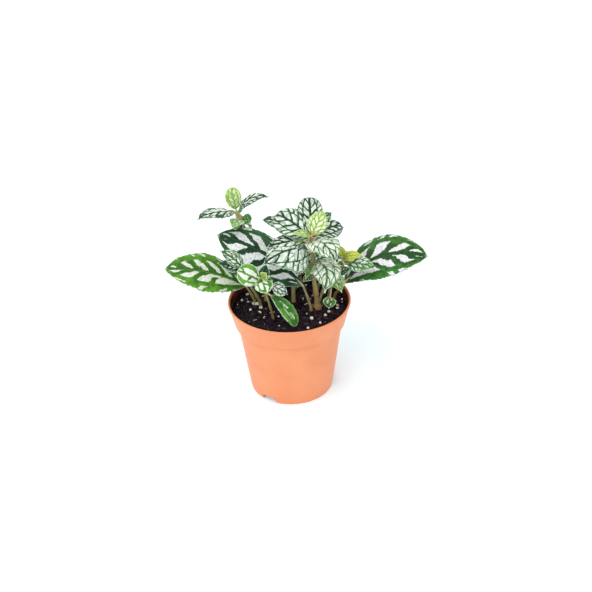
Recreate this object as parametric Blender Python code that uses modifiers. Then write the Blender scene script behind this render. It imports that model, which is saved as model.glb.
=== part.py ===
"""An aluminum plant in a 12 cm nursery pot: the pot, its soil, four large leaves that each
stand in the soil on their own stalk, leafy stems, and the young shoot tips on top of them.

+X is the right of the front view, +Y the back and +Z up. The origin is the middle of the
pot's base. Lengths are metres, written as millimetres times MM.
"""

import math
from collections import namedtuple

import bmesh
import bpy
from mathutils import Vector, noise

MM = 0.001

# Pot
POT_HEIGHT = 98 * MM
RIM_RADIUS = 60 * MM
LIP_FOOT_RADIUS = 54.7 * MM
LIP_FOOT_HEIGHT = 75.3 * MM
BODY_TOP_RADIUS = 51.7 * MM
BASE_RADIUS = 41.5 * MM
WALL = 1.2 * MM
BEAD_HEIGHT = 2.4 * MM
BEAD_STEP = 0.7 * MM
FLOOR_HEIGHT = 5.7 * MM
FOOT_WIDTH = 1.6 * MM
PAD_RADIUS = 14 * MM
POT_STEPS = 36
NOTCH_AZIMUTHS = (-124, -4, 116)
NOTCH_WIDTH = 15 * MM
NOTCH_HEIGHT = 5.65 * MM
NOTCH_DEPTH = 8 * MM
# The wall bends slightly inwards over its foot.
FOOT_TURN_HEIGHT = 4.4 * MM
FOOT_TURN = 0.6 * MM
# Cut corners of the rim bead.
RIM_CUT = 0.5 * MM
DRAIN_HOLES = 6
DRAIN_RADIUS = 4 * MM
DRAIN_RING = 29 * MM
DRAIN_SIDES = 12
DRAIN_CUT = 6 * MM

# Soil
SOIL_HEIGHT = 88.5 * MM
SOIL_RINGS = 6
LUMP_HEIGHT = 1.7 * MM
LUMP_SIZE = 9 * MM
FINE_LUMPS = 2.3
CROWN_RISE = 1.5 * MM
EDGE_DROP = 2 * MM
HOLE_DEPTH = 22.5 * MM
HOLE_SIDES = 10
GAP = 0.3 * MM
LOOSE_GRAINS = 4
GRAIN_REACH = 50 * MM
GOLDEN_ANGLE = 2.39996

# Leaves and stems
BLADE = 0.8 * MM
TOOTH = 0.07
STEM_SIDES = 6
STALK_SIDES = 4
JOINT_SWELL = 0.35
# A loose piece with fewer points than this is a scrap.
SCRAP_POINTS = 20
# How round a blade is at its foot and at its tip, and the share of it below its drawn-out point.
SHAPES = {
    "large": (0.95, 0.72, 0.95),
    "middle": (0.72, 0.95, 0.95),
    "rounded": (0.75, 0.5, 1.0),
    "small": (0.72, 0.95, 0.95),
    "round small": (0.75, 0.5, 1.0),
}
POINT_SLOPE = 0.8
LEAST_HALF = 0.5 * MM
# How much a blade's halves curve down from the fold towards the margin.
MARGIN_DROOP = 0.16

# Rows along a blade and strips across it, for each size of leaf.
GRIDS = {"large": (12, 4), "middle": (8, 4), "rounded": (8, 4), "small": (6, 2), "round small": (6, 2)}
# Radius of a leaf's stalk. A large leaf's is its branch's own.
STALKS = {"middle": 0.9, "rounded": 0.9, "small": 0.7, "round small": 0.7}
STALK_STEPS = 3
# The stalk runs on under this share of the blade and ends this thick.
STALK_REACH = 0.08
STALK_END = 0.6
# A young tip's radius at its foot, as a share of its stem's, and at its top.
BUD_SHARE = 0.85
BUD_END = 0.8

# A leaf grows from a joint of its branch to its tip. Arch and bow move its midrib off the
# straight line, along its face and to its side, stalk is the bare share of its length,
# face is the way its upper side looks, and fold lifts its two halves, in degrees.
Leaf = namedtuple("Leaf", "joint tip width arch bow stalk face fold size")
# A branch is a row of joints from foot to top, with its radius at both ends.
Branch = namedtuple("Branch", "joints thick slim leaves")

UP = (0, 0, 1)

SINGLE_LEAVES = {
    "leaf_left": Branch(
        [(-33, 2, 67), (-33, 2, 90), (-36, 2, 101), (-41, 2, 112)],
        1.4,
        1.1,
        [Leaf(3, (-117, -8, 140), 46, 9, 0, 0, (0, -0.36, 0.93), 8, "large")],
    ),
    "leaf_right": Branch(
        [(45, 14, 67), (45, 14, 90), (49, 11, 99), (54, 8, 108)],
        1.5,
        1.1,
        [Leaf(3, (134, 4, 138), 47, 14, -8, 0, (0, -0.47, 0.88), 6, "large")],
    ),
    "leaf_middle": Branch(
        [(21, -11, 67), (21, -11, 90), (18, -9, 103), (14, -6, 115)],
        1.5,
        1.1,
        [Leaf(3, (-66, 7, 167), 54, 8, 4, 0, (0, -0.4, 0.9), -9, "large")],
    ),
    "leaf_back": Branch(
        [(6, 30, 67), (6, 30, 90), (10, 36, 103), (16, 44, 112)],
        1.4,
        1.1,
        [Leaf(3, (42, 110, 98), 45, 14, 0, 0, UP, 8, "large")],
    ),
}

LEAFY_STEMS = {
    "stem_tall": [
        Branch(
            [
                (-23, 9, 67), (-23, 9, 90), (-25, 14, 115), (-34, 28, 144), (-44, 31, 168), (-47, 28, 178),
                (-47.6, 28, 180.4),
            ],
            1.9,
            1.2,
            [
                Leaf(5, (-15, 30, 194), 20, 7, 0, 0.1, UP, 8, "middle"),
                Leaf(5, (-84, 5, 185), 25, 4, 0, 0.12, UP, 8, "middle"),
                Leaf(4, (-51, 2, 176), 14, 4, 0, 0.2, (0, -0.5, 0.8), 10, "small"),
                Leaf(4, (-36, 38, 160), 19, 5, 0, 0.12, (0.3, -0.5, 0.8), 8, "round small"),
                Leaf(3, (-58, 52, 126), 24, 6, 0, 0.2, UP, 8, "middle"),
            ],
        )
    ],
    "stem_left": [
        Branch(
            [(-28, -1, 67), (-28, -1, 90), (-31, -7, 106), (-37, -19.5, 128), (-41, -29.5, 148), (-41.5, -30.5, 151)],
            1.7,
            1.0,
            [
                Leaf(4, (-62.5, -28, 170), 15, 3, 3, 0.1, (-0.2, -0.7, 0.6), 10, "small"),
                Leaf(4, (-64, -34, 160), 12, 2, 0, 0.2, (-0.1, -0.5, 0.8), 10, "small"),
            ],
        )
    ],
    "stem_front": [
        Branch(
            [(-16, -23, 67), (-16, -23, 90), (-18, -26, 105), (-22, -30, 125), (-25, -31, 136), (-25, -31, 139)],
            1.3,
            0.9,
            [
                Leaf(4, (-46, -35, 152), 21, 3, 0, 0.1, (0.1, -0.7, 0.7), 6, "rounded"),
                Leaf(4, (-20, -51, 137), 17, 4, 0, 0.1, (0, -0.5, 0.85), 8, "round small"),
                Leaf(4, (-14.6, -28, 136), 10, 2, 0, 0.15, (0, -0.5, 0.85), 8, "small"),
                Leaf(4, (-20, -24, 152), 10, -1, 0, 0.15, (0, -0.8, 0.6), 8, "small"),
                Leaf(4, (-1, -31, 122), 14, 3, 0, 0.35, (0, -0.5, 0.85), 8, "small"),
                Leaf(3, (6, -43, 95), 18, 5, 0, 0.12, (0.3, -0.3, 0.9), 12, "rounded"),
            ],
        )
    ],
    "stem_centre": [
        Branch(
            [
                (27, -5, 67), (27, -5, 90), (26, -4, 105), (24, -4, 124), (23, -4, 138), (23, -4, 150),
                (23, -4, 162), (23, -4.5, 167),
            ],
            2.6,
            1.5,
            [
                Leaf(6, (-10, 12, 184), 32, 7, 0, 0.1, (0, -0.4, 0.9), 6, "rounded"),
                Leaf(6, (46, -38, 158), 34, 9, 0, 0.1, (0.2, -0.3, 0.9), 6, "middle"),
                Leaf(6, (22, 28, 193), 24, 6, 0, 0.1, (0, -0.5, 0.85), 6, "rounded"),
                Leaf(6, (-20, -16, 164), 21, 4, 0, 0.15, (0, -0.3, 0.9), 8, "middle"),
                Leaf(6, (55, 14, 167), 26, 7, -2, 0.2, (0, -0.4, 0.9), 8, "middle"),
                Leaf(5, (-24, -38, 158), 44, 12, 0, 0.12, (-0.1, -0.4, 0.9), -16, "middle"),
                Leaf(6, (-25, 22, 174), 18, 9, 0, 0.3, (0, -0.3, 0.9), 8, "middle"),
                Leaf(5, (44.5, 29, 177), 18, 5, -4, 0.3, (0, -0.3, 0.9), 8, "small"),
                Leaf(4, (34, -42, 129), 31, 11, -8, 0.12, (0.1, -0.5, 0.85), 0, "middle"),
                Leaf(4, (44, 13, 133), 20, 5, 0, 0.1, (0, -0.3, 0.9), 8, "small"),
                Leaf(3, (16, 40, 120), 24, 7, 0, 0.15, UP, 8, "middle"),
                Leaf(3, (14, -18, 128), 9, 2, 0, 0.2, (0, -0.4, 0.9), 8, "small"),
            ],
        ),
        Branch(
            [(27, -5, 90), (30, -2, 98), (34, 2, 110), (35, 6, 122)],
            1.5,
            1.1,
            [
                Leaf(3, (38, 40, 128), 28, 7, 0, 0.12, UP, 8, "middle"),
                Leaf(3, (50, -24, 118), 20, 5, 0, 0.2, (0.2, -0.3, 0.9), 8, "small"),
            ],
        ),
    ],
    "stem_right": [
        Branch(
            [(38, 9, 67), (38, 9, 90), (42, 7, 108), (48, 5, 122), (53, 3, 133.5), (53.7, 3, 137.5)],
            1.5,
            1.0,
            [
                Leaf(4, (83, -14, 137), 18, 4, 0, 0.15, (0.1, -0.5, 0.85), 8, "middle"),
                Leaf(4, (46, -10, 149), 11, 2, 0, 0.1, (0, -0.5, 0.8), 8, "small"),
                Leaf(2, (38, -11, 92), 13, 5, 0, 0.58, (0, -0.5, 0.85), 15, "small"),
            ],
        )
    ],
    "stem_back": [
        Branch(
            [(4, 5, 67), (4, 5, 90), (4, 10, 108), (2, 20, 124), (0, 28, 136), (0, 29, 139)],
            2.2,
            1.2,
            [
                Leaf(4, (-30, 58, 120), 30, 6, 0, 0.12, UP, 8, "middle"),
                Leaf(4, (26, 60, 142), 32, 8, 0, 0.12, UP, 8, "middle"),
                Leaf(3, (-12, 72, 122), 30, 8, 0, 0.15, UP, 8, "middle"),
            ],
        )
    ],
    "stem_back_left": [
        Branch(
            [(-14, 24, 67), (-14, 24, 90), (-18, 30, 102), (-26, 40, 112)],
            1.6,
            1.1,
            [
                Leaf(3, (-72, 48, 106), 30, 8, 0, 0.12, UP, 8, "middle"),
                Leaf(3, (-44, 88, 98), 32, 9, 0, 0.12, UP, 8, "middle"),
                Leaf(2, (-8, 76, 98), 26, 7, 0, 0.2, UP, 8, "middle"),
            ],
        )
    ],
    "stem_back_right": [
        Branch(
            [(28, 26, 67), (28, 26, 90), (34, 32, 104), (46, 40, 114)],
            1.6,
            1.1,
            [
                Leaf(3, (94, 52, 98), 30, 6, 0, 0.12, UP, 8, "middle"),
                Leaf(3, (66, 88, 90), 32, 9, 0, 0.12, UP, 8, "middle"),
            ],
        )
    ],
}

# Young tips: the stem they stand on, their own height, and their leaves.
Tip = namedtuple("Tip", "stem height leaves")
YOUNG_TIPS = {
    "tip_tall": Tip(
        "stem_tall", 1.5, [Leaf(1, (-51, 22, 209), 17, 2, 0, 0.05, (0.1, -0.8, 0.4), 10, "rounded")]
    ),
    "tip_front": Tip(
        "stem_front", 2, [Leaf(1, (-20, -31, 146), 8, 1, 0, 0.05, (0, -0.8, 0.5), 10, "small")]
    ),
    "tip_centre": Tip(
        "stem_centre",
        1.5,
        [
            Leaf(1, (35, 8, 190), 20, 3, 0, 0.05, (0, -0.8, 0.5), 8, "middle"),
            Leaf(1, (5, -14, 177.5), 8.5, 2, 0, 0.08, (0, -0.5, 0.85), 10, "small"),
        ],
    ),
    "tip_right": Tip(
        "stem_right",
        1.5,
        [
            Leaf(1, (48.5, 9.6, 151), 8.5, 1, 0, 0.08, (0, -0.8, 0.5), 8, "round small"),
            Leaf(1, (70, -7, 148), 11, 3, 0, 0.08, (0, -0.6, 0.8), 8, "round small"),
        ],
    ),
    "tip_back": Tip(
        "stem_back",
        3,
        [
            Leaf(1, (-9, 38, 143), 10, 2, 0, 0.08, UP, 8, "small"),
            Leaf(1, (6, 32, 149), 10, 2, 0, 0.08, UP, 8, "small"),
        ],
    ),
}

# Perlite grains seen on the soil: place and radius.
GRAINS = [
    (-35, 5, 1.6), (-32, 1, 1.9), (-28, -4, 1.5), (-29, -12, 1.4), (-24, -20, 1.3), (-38, -6, 1.2),
    (-47, 12, 1.2), (-42, 24, 1.4), (21, -24, 1.6), (34, -20, 1.5), (38, -13, 1.4), (40, -3, 1.3),
    (17, -40, 1.2), (47, -2, 1.2),
]

GREEN = (0.05, 0.16, 0.04, 1)
LIME = (0.45, 0.62, 0.12, 1)
TERRACOTTA = (0.62, 0.20, 0.09, 1)
DARK_SOIL = (0.02, 0.014, 0.011, 1)


def clear_scene():
    for thing in list(bpy.data.objects):
        bpy.data.objects.remove(thing)


def make_collection(name):
    made = bpy.data.collections.new(name)
    bpy.context.scene.collection.children.link(made)
    return made


def make_material(name, colour, roughness):
    made = bpy.data.materials.new(name)
    made.use_nodes = True
    shader = made.node_tree.nodes["Principled BSDF"]
    shader.inputs["Base Color"].default_value = colour
    shader.inputs["Roughness"].default_value = roughness
    return made


def add_object(name, mesh, collection):
    made = bpy.data.objects.new(name, mesh)
    collection.objects.link(made)
    return made


def mesh_from(source):
    """The object's mesh with its modifiers applied, in place, and its doubles merged."""
    graph = bpy.context.evaluated_depsgraph_get()
    mesh = bpy.data.meshes.new_from_object(source.evaluated_get(graph))
    mesh.transform(source.matrix_world)
    shape = bmesh.new()
    shape.from_mesh(mesh)
    bmesh.ops.remove_doubles(shape, verts=shape.verts, dist=1e-6)
    bmesh.ops.recalc_face_normals(shape, faces=shape.faces)
    shape.to_mesh(mesh)
    shape.free()
    return mesh


def apply_modifiers(thing):
    made = mesh_from(thing)
    thing.modifiers.clear()
    thing.data = made


def turned(name, profile, steps, collection):
    """A closed profile of (radius, height) points, turned about Z."""
    mesh = bpy.data.meshes.new(name)
    shape = bmesh.new()
    points = [shape.verts.new((radius, 0, height)) for radius, height in profile]
    for first, second in zip(points, points[1:]):
        shape.edges.new((first, second))
    shape.to_mesh(mesh)
    shape.free()
    made = add_object(name, mesh, collection)
    screw = made.modifiers.new("Turn", "SCREW")
    screw.steps = steps
    screw.render_steps = steps
    screw.use_merge_vertices = True
    screw.merge_threshold = 0.0001
    return made


def tube(name, points, radii, sides, collection):
    """A closed tube through the points, as a mesh object."""
    curve = bpy.data.curves.new(name, "CURVE")
    curve.dimensions = "3D"
    curve.bevel_depth = 1
    curve.bevel_resolution = sides // 2 - 2
    curve.use_fill_caps = True
    spline = curve.splines.new("POLY")
    spline.points.add(len(points) - 1)
    for point, place, radius in zip(spline.points, points, radii):
        point.co = (*place, 1)
        point.radius = radius
    guide = add_object(name, curve, collection)
    bpy.context.view_layer.update()
    mesh = mesh_from(guide)
    bpy.data.objects.remove(guide)
    return add_object(name, mesh, collection)


def join(whole, helpers, operation):
    """One Boolean with all of the helper collection, which is then removed."""
    cut = whole.modifiers.new("Join", "BOOLEAN")
    cut.operation = operation
    cut.operand_type = "COLLECTION"
    cut.collection = helpers
    cut.solver = "EXACT"
    bpy.context.view_layer.update()
    apply_modifiers(whole)
    drop_scraps(whole.data)
    for helper in list(helpers.objects):
        bpy.data.objects.remove(helper)
    bpy.data.collections.remove(helpers)


def drop_scraps(mesh):
    """Removes each loose scrap that a union left beside its body."""
    shape = bmesh.new()
    shape.from_mesh(mesh)
    left = set(shape.verts)
    while left:
        piece = set()
        edge = {left.pop()}
        while edge:
            piece |= edge
            edge = {link.other_vert(vert) for vert in edge for link in vert.link_edges} - piece
        left -= piece
        if len(piece) < SCRAP_POINTS:
            bmesh.ops.delete(shape, geom=list(piece), context="VERTS")
    shape.to_mesh(mesh)
    shape.free()


def smooth_path(joints, steps):
    """Points along a smooth curve through the joints, with the share of the way to each."""
    joints = [Vector(joint) * MM for joint in joints]
    ends = [2 * joints[0] - joints[1]] + joints + [2 * joints[-1] - joints[-2]]
    path = []
    for index in range(len(joints) - 1):
        before, start, end, after = ends[index : index + 4]
        for step in range(steps):
            t = step / steps
            place = 0.5 * (
                2 * start
                + (end - before) * t
                + (2 * before - 5 * start + 4 * end - after) * t * t
                + (3 * start - before - 3 * end + after) * t ** 3
            )
            path.append((place, (index + t) / (len(joints) - 1)))
    path.append((joints[-1], 1.0))
    return path


def outline(s, size):
    """Half width of a blade, from 0 to 1, at the share s of its length."""
    base_power, tip_power, body = SHAPES[size]
    left = max(0.0, 1 - s / body)
    full = s ** base_power * left ** tip_power
    peak = base_power / (base_power + tip_power)
    full /= (peak * body) ** base_power * (1 - peak) ** tip_power
    return max(full, min(POINT_SLOPE * (1 - s), 0.5 - abs(s - 0.5)))


def leaf_frame(root, leaf):
    """The chord of a leaf, its side and its face, as vectors."""
    chord = Vector(leaf.tip) * MM - root
    side = chord.cross(Vector(leaf.face)).normalized()
    return chord, side, side.cross(chord).normalized()


def midrib(root, leaf, t):
    """A point of the leaf's middle line, from its joint at 0 to its tip at 1."""
    chord, side, face = leaf_frame(root, leaf)
    rise = 4 * t * (1 - t) * MM
    return root + chord * t + face * (rise * leaf.arch) + side * (rise * leaf.bow)


def blade_point(root, leaf, s, v):
    """The blade at the share s of its length, and v from -1 to 1 across it."""
    t = leaf.stalk + (1 - leaf.stalk) * s
    step = 0.01
    along = midrib(root, leaf, min(1, t + step)) - midrib(root, leaf, max(0, t - step))
    side = along.cross(leaf_frame(root, leaf)[2]).normalized()
    face = side.cross(along).normalized()
    half = leaf.width / 2 * MM
    reach = max(half * outline(s, leaf.size), LEAST_HALF) * v
    fold = math.radians(leaf.fold)
    lift = abs(reach) * math.sin(fold) - MARGIN_DROOP * reach * reach / half
    return midrib(root, leaf, t) + side * (reach * math.cos(fold)) + face * lift


def add_blade(name, root, leaf, collection):
    """A thin blade with a toothed edge, split alike on both faces."""
    rows, strips = GRIDS[leaf.size]
    shape = bmesh.new()
    bmesh.ops.create_grid(shape, x_segments=rows, y_segments=strips, size=1)
    for vert in shape.verts:
        row = round((vert.co.x + 1) / 2 * rows)
        v = vert.co.y
        if abs(v) > 0.99 and 0 < row < rows:
            v *= 1 + TOOTH * (-1) ** row
        vert.co = blade_point(root, leaf, row / rows, v)
    bmesh.ops.triangulate(shape, faces=shape.faces, quad_method="ALTERNATE")
    mesh = bpy.data.meshes.new(name)
    shape.to_mesh(mesh)
    shape.free()
    made = add_object(name, mesh, collection)
    wall = made.modifiers.new("Thickness", "SOLIDIFY")
    wall.thickness = BLADE
    wall.offset = 0
    apply_modifiers(made)
    return made


def add_stalk(name, root, leaf, thick, collection):
    """The leaf's stalk, which runs on under the blade as the start of its midrib."""
    end = leaf.stalk + STALK_REACH * (1 - leaf.stalk)
    shares = [step / STALK_STEPS for step in range(STALK_STEPS + 1)]
    points = [midrib(root, leaf, end * share) for share in shares]
    radii = [(thick + (STALK_END - thick) * share) * MM for share in shares]
    return tube(name, points, radii, STALK_SIDES, collection)


def add_stem(name, branch, collection):
    path = smooth_path(branch.joints, 2)
    spans = len(branch.joints) - 1
    radii = []
    for _, share in path:
        near = abs(share * spans - round(share * spans)) < 0.01
        swell = JOINT_SWELL if near and 1.5 / spans < share < 1 else 0
        radii.append((branch.thick + (branch.slim - branch.thick) * share) * (1 + swell) * MM)
    return tube(name, [place for place, _ in path], radii, STEM_SIDES, collection)


def grow(name, branches, collection):
    """Branches with their leaves, grown together as one body."""
    helpers = make_collection(name + " leaves")
    stem = None
    for branch in branches:
        if stem is None:
            stem = add_stem(name, branch, collection)
        else:
            add_stem(name + " branch", branch, helpers)
        for leaf in branch.leaves:
            root = Vector(branch.joints[leaf.joint]) * MM
            add_stalk(name + " stalk", root, leaf, STALKS.get(leaf.size, branch.slim), helpers)
            add_blade(name + " blade", root, leaf, helpers)
    join(stem, helpers, "UNION")
    return stem


def young_tip(name, tip, collection):
    """A short bud on its stem's end, a hair above it, with the youngest leaves."""
    branch = LEAFY_STEMS[tip.stem][0]
    path = smooth_path(branch.joints, 2)
    way = (path[-1][0] - path[-2][0]).normalized()
    start = path[-1][0] + way * GAP
    bud = [tuple(start / MM), tuple((start + way * tip.height * MM) / MM)]
    return grow(name, [Branch(bud, BUD_SHARE * branch.slim, BUD_END, tip.leaves)], collection)


def pot_radius(height):
    """Outer radius of the pot's wall below its lip."""
    share = height / LIP_FOOT_HEIGHT
    return BASE_RADIUS + (BODY_TOP_RADIUS - BASE_RADIUS) * share


def lip_inside(height):
    """Inner radius of the pot's lip band."""
    foot = LIP_FOOT_HEIGHT + WALL
    share = (height - foot) / (POT_HEIGHT - BEAD_HEIGHT - foot)
    return LIP_FOOT_RADIUS - WALL + (RIM_RADIUS - BEAD_STEP - LIP_FOOT_RADIUS) * share


def make_pot(collection):
    bead_foot = POT_HEIGHT - BEAD_HEIGHT
    lip_top = RIM_RADIUS - BEAD_STEP
    floor_top = FLOOR_HEIGHT + WALL
    ledge = LIP_FOOT_HEIGHT + WALL
    profile = [
        (0, WALL),
        (PAD_RADIUS - WALL, WALL),
        (PAD_RADIUS + 0.6 * WALL, floor_top),
        (pot_radius(floor_top) - WALL, floor_top),
        (BODY_TOP_RADIUS - WALL, ledge),
        (LIP_FOOT_RADIUS - WALL, ledge),
        (lip_top - WALL, bead_foot),
        (lip_top - WALL, POT_HEIGHT - RIM_CUT),
        (lip_top - WALL + RIM_CUT, POT_HEIGHT),
        (RIM_RADIUS - RIM_CUT, POT_HEIGHT),
        (RIM_RADIUS, POT_HEIGHT - RIM_CUT),
        (RIM_RADIUS, bead_foot + RIM_CUT),
        (lip_top, bead_foot),
        (LIP_FOOT_RADIUS, LIP_FOOT_HEIGHT),
        (BODY_TOP_RADIUS, LIP_FOOT_HEIGHT),
        (BASE_RADIUS + FOOT_TURN, FOOT_TURN_HEIGHT),
        (BASE_RADIUS, 0),
        (BASE_RADIUS - FOOT_WIDTH, 0),
        (BASE_RADIUS - FOOT_WIDTH + GAP, FLOOR_HEIGHT),
        (PAD_RADIUS + WALL, FLOOR_HEIGHT),
        (PAD_RADIUS, 0),
        (0, 0),
    ]
    pot = turned("pot", profile, POT_STEPS, collection)
    apply_modifiers(pot)
    cutters = make_collection("pot cutters")
    for azimuth in NOTCH_AZIMUTHS:
        angle = math.radians(azimuth)
        bpy.ops.mesh.primitive_cube_add(
            size=1,
            location=(BASE_RADIUS * math.cos(angle), BASE_RADIUS * math.sin(angle), 0),
            rotation=(0, 0, angle),
        )
        notch = bpy.context.active_object
        notch.scale = (NOTCH_DEPTH, NOTCH_WIDTH, 2 * NOTCH_HEIGHT)
        move_to(notch, cutters)
    for index in range(DRAIN_HOLES):
        angle = math.tau * (index + 0.5) / DRAIN_HOLES
        bpy.ops.mesh.primitive_cylinder_add(
            vertices=DRAIN_SIDES,
            radius=DRAIN_RADIUS,
            depth=DRAIN_CUT,
            location=(
                DRAIN_RING * math.cos(angle),
                DRAIN_RING * math.sin(angle),
                FLOOR_HEIGHT + WALL / 2,
            ),
        )
        move_to(bpy.context.active_object, cutters)
    join(pot, cutters, "DIFFERENCE")
    return pot


def move_to(thing, collection):
    for other in list(thing.users_collection):
        other.objects.unlink(thing)
    collection.objects.link(thing)
    thing.hide_render = True
    thing.display_type = "WIRE"


def soil_lift(x, y):
    """Height of the lumps on the soil above its mean surface."""
    place = Vector((x, y, 0)) / LUMP_SIZE
    fine = noise.noise(place * FINE_LUMPS + Vector((7, 3, 1)))
    radius = math.hypot(x, y) / RIM_RADIUS
    return LUMP_HEIGHT * (noise.noise(place) + 0.5 * fine) + CROWN_RISE * (1 - radius * radius)


def soil_grains():
    """The grains seen from the front, then more strewn by a rule over the rest, in metres."""
    grains = [(x * MM, y * MM, radius * MM) for x, y, radius in GRAINS]
    for index in range(LOOSE_GRAINS):
        angle = 0.5 + GOLDEN_ANGLE * index
        reach = GRAIN_REACH * math.sqrt((index + 1.5) / (LOOSE_GRAINS + 2))
        size = (1.1 + 0.15 * (index % 5)) * MM
        grains.append((reach * math.cos(angle), reach * math.sin(angle), size))
    return grains


def stem_feet():
    """Place and radius of each stem where it stands in the soil."""
    branches = list(SINGLE_LEAVES.values()) + [stem[0] for stem in LEAFY_STEMS.values()]
    return [(branch.joints[0][0] * MM, branch.joints[0][1] * MM, branch.thick * MM) for branch in branches]


def make_soil(collection):
    side_top = SOIL_HEIGHT - EDGE_DROP
    floor = FLOOR_HEIGHT + WALL + GAP
    ledge = LIP_FOOT_HEIGHT + WALL + GAP
    edge = lip_inside(side_top) - GAP
    profile = [(0, SOIL_HEIGHT)]
    profile += [(edge * ring / SOIL_RINGS, SOIL_HEIGHT) for ring in range(1, SOIL_RINGS)]
    profile += [
        (edge, side_top),
        (lip_inside(ledge) - GAP, ledge),
        (BODY_TOP_RADIUS - WALL - GAP, ledge),
        (pot_radius(floor) - WALL - GAP, floor),
        (PAD_RADIUS + 0.6 * WALL - GAP, floor),
        (PAD_RADIUS - WALL - GAP, WALL + GAP),
        (0, WALL + GAP),
    ]
    soil = turned("soil", profile, POT_STEPS, collection)
    apply_modifiers(soil)
    for vert in soil.data.vertices:
        if vert.co.z > SOIL_HEIGHT - 0.1 * MM:
            vert.co.z += soil_lift(vert.co.x, vert.co.y)
    grains = make_collection("grains")
    for x, y, radius in soil_grains():
        if any(math.hypot(x - fx, y - fy) < fr + radius + MM for fx, fy, fr in stem_feet()):
            continue
        top = SOIL_HEIGHT + soil_lift(x, y)
        bpy.ops.mesh.primitive_ico_sphere_add(
            subdivisions=1, radius=radius, location=(x, y, top), rotation=(x / MM, y / MM, 0)
        )
        move_to(bpy.context.active_object, grains)
    join(soil, grains, "UNION")
    holes = make_collection("holes")
    for x, y, radius in stem_feet():
        bpy.ops.mesh.primitive_cylinder_add(
            vertices=HOLE_SIDES,
            radius=1.05 * radius + 3 * GAP,
            depth=2 * HOLE_DEPTH,
            location=(x, y, SOIL_HEIGHT),
        )
        move_to(bpy.context.active_object, holes)
    join(soil, holes, "DIFFERENCE")
    return soil


def main():
    clear_scene()
    plant = make_collection("potted_aluminum_plant")
    green = make_material("leaf green", GREEN, 0.45)
    lime = make_material("young leaf", LIME, 0.45)
    clay = make_material("terracotta plastic", TERRACOTTA, 0.5)
    earth = make_material("potting soil", DARK_SOIL, 0.95)
    make_pot(plant).data.materials.append(clay)
    make_soil(plant).data.materials.append(earth)
    for name, branch in SINGLE_LEAVES.items():
        grow(name, [branch], plant).data.materials.append(green)
    for name, branches in LEAFY_STEMS.items():
        grow(name, branches, plant).data.materials.append(green)
    for name, tip in YOUNG_TIPS.items():
        young_tip(name, tip, plant).data.materials.append(lime)
    for thing in plant.objects:
        thing.data.shade_smooth()
        thing.data.set_sharp_from_angle(angle=math.radians(40))


main()
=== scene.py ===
"""The looks of a young aluminum plant in a 12 cm nursery pot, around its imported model.

Each leaf is its own piece, with veins and silver patches as a pattern in millimetres along
and across its blade. The stems, the pot, the soil, its crumbs and the white perlite are
pieces too. Lengths are in metres, written as millimetres times MM. The tables of leaves,
stems and finishes are in millimetres.
"""

import math
import random
from collections import namedtuple

import bmesh
import bpy
from mathutils import Matrix, Vector, noise


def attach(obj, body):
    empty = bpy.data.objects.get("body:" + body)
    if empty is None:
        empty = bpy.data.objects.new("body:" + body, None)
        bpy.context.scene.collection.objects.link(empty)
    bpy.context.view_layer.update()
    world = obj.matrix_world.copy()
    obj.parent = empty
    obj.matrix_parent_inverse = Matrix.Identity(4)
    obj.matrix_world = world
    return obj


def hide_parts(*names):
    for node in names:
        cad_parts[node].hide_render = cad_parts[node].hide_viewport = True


MM = 0.001

# Camera, as fitted to the photograph, with its turns in degrees
LENS = 60
SENSOR = 36
CAMERA_TARGET = (6.6, 0, 100.7)
CAMERA_DISTANCE = 961
CAMERA_TILT = 31.93
CAMERA_ROLL = -1.85

# Name, place, spread in degrees and strength of each sun, and the strength of the sky
SUNS = [
    ("key", (-0.55, -0.6, 1.35), 60, 1.1),
    ("back", (-0.5, 0.9, 0.9), 40, 0.3),
]
SKY_STRENGTH = 0.92
FLOOR_SIZE = 6

# Pot
POT_HEIGHT = 98 * MM
RIM_RADIUS = 60 * MM
LIP_FOOT_RADIUS = 54.7 * MM
LIP_FOOT_HEIGHT = 75.3 * MM
BODY_TOP_RADIUS = 51.7 * MM
BASE_RADIUS = 41.5 * MM
WALL = 1.2 * MM
BEAD_HEIGHT = 2.4 * MM
BEAD_STEP = 0.7 * MM
BEAD_ROUND = 0.95 * MM
FLOOR_HEIGHT = 5.7 * MM
FOOT_WIDTH = 1.6 * MM
FOOT_BAND_HEIGHT = 4.4 * MM
FOOT_BAND_STEP = 0.6 * MM
PAD_RADIUS = 14 * MM
POT_SIDES = 144
NOTCH_AZIMUTHS = (-124, -4, 116)
NOTCH_WIDTH = 15 * MM
NOTCH_HEIGHT = 5.6 * MM
NOTCH_DEPTH = 8 * MM
NOTCH_CORNER = 1.2 * MM
DRAIN_HOLES = 6
DRAIN_RADIUS = 4 * MM
DRAIN_RING = 29 * MM
DRAIN_CUT = 6 * MM
# Where rings of the wall and of the lip's inside lie, as shares and as millimetres of height
WALL_RINGS = (0.3, 0.6, 0.9)
LIP_RINGS = (94, 90, 86, 80)
# Roundings and small slants of the pot's edges
SOFT_EDGE = 0.5 * MM
EDGE_SLANT = 0.3 * MM
PAD_SLANT = 0.2 * MM
LIP_SLANT = (0.2 * MM, 0.1 * MM)
LEDGE_SLANT = (0.6 * MM, 0.4 * MM)
CHANNEL_FOOT = 0.6 * WALL
# How far from the inner wall, the floor and the rim the inside's painted shade and soil dust reach
INSIDE_REACH = 0.35 * MM
FLOOR_REACH = 0.1 * MM
RIM_REACH = 1.5 * MM

# Soil
SOIL_HEIGHT = 88.5 * MM
SOIL_GRID = 170
SOIL_CROWN = 1.5 * MM
SIDE_DROP = 2 * MM
SIDE_RISE = 1.2 * MM
SIDE_EASE = 3 * MM
TONE_SIZE = 6 * MM
GAP = 0.3 * MM
# Lumps of the soil, and finer ones on them
LUMP_HEIGHT = 1.7 * MM
LUMP_SIZE = 9 * MM
FINE_RATE = 2.3
FINE_SHARE = 0.5
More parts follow.
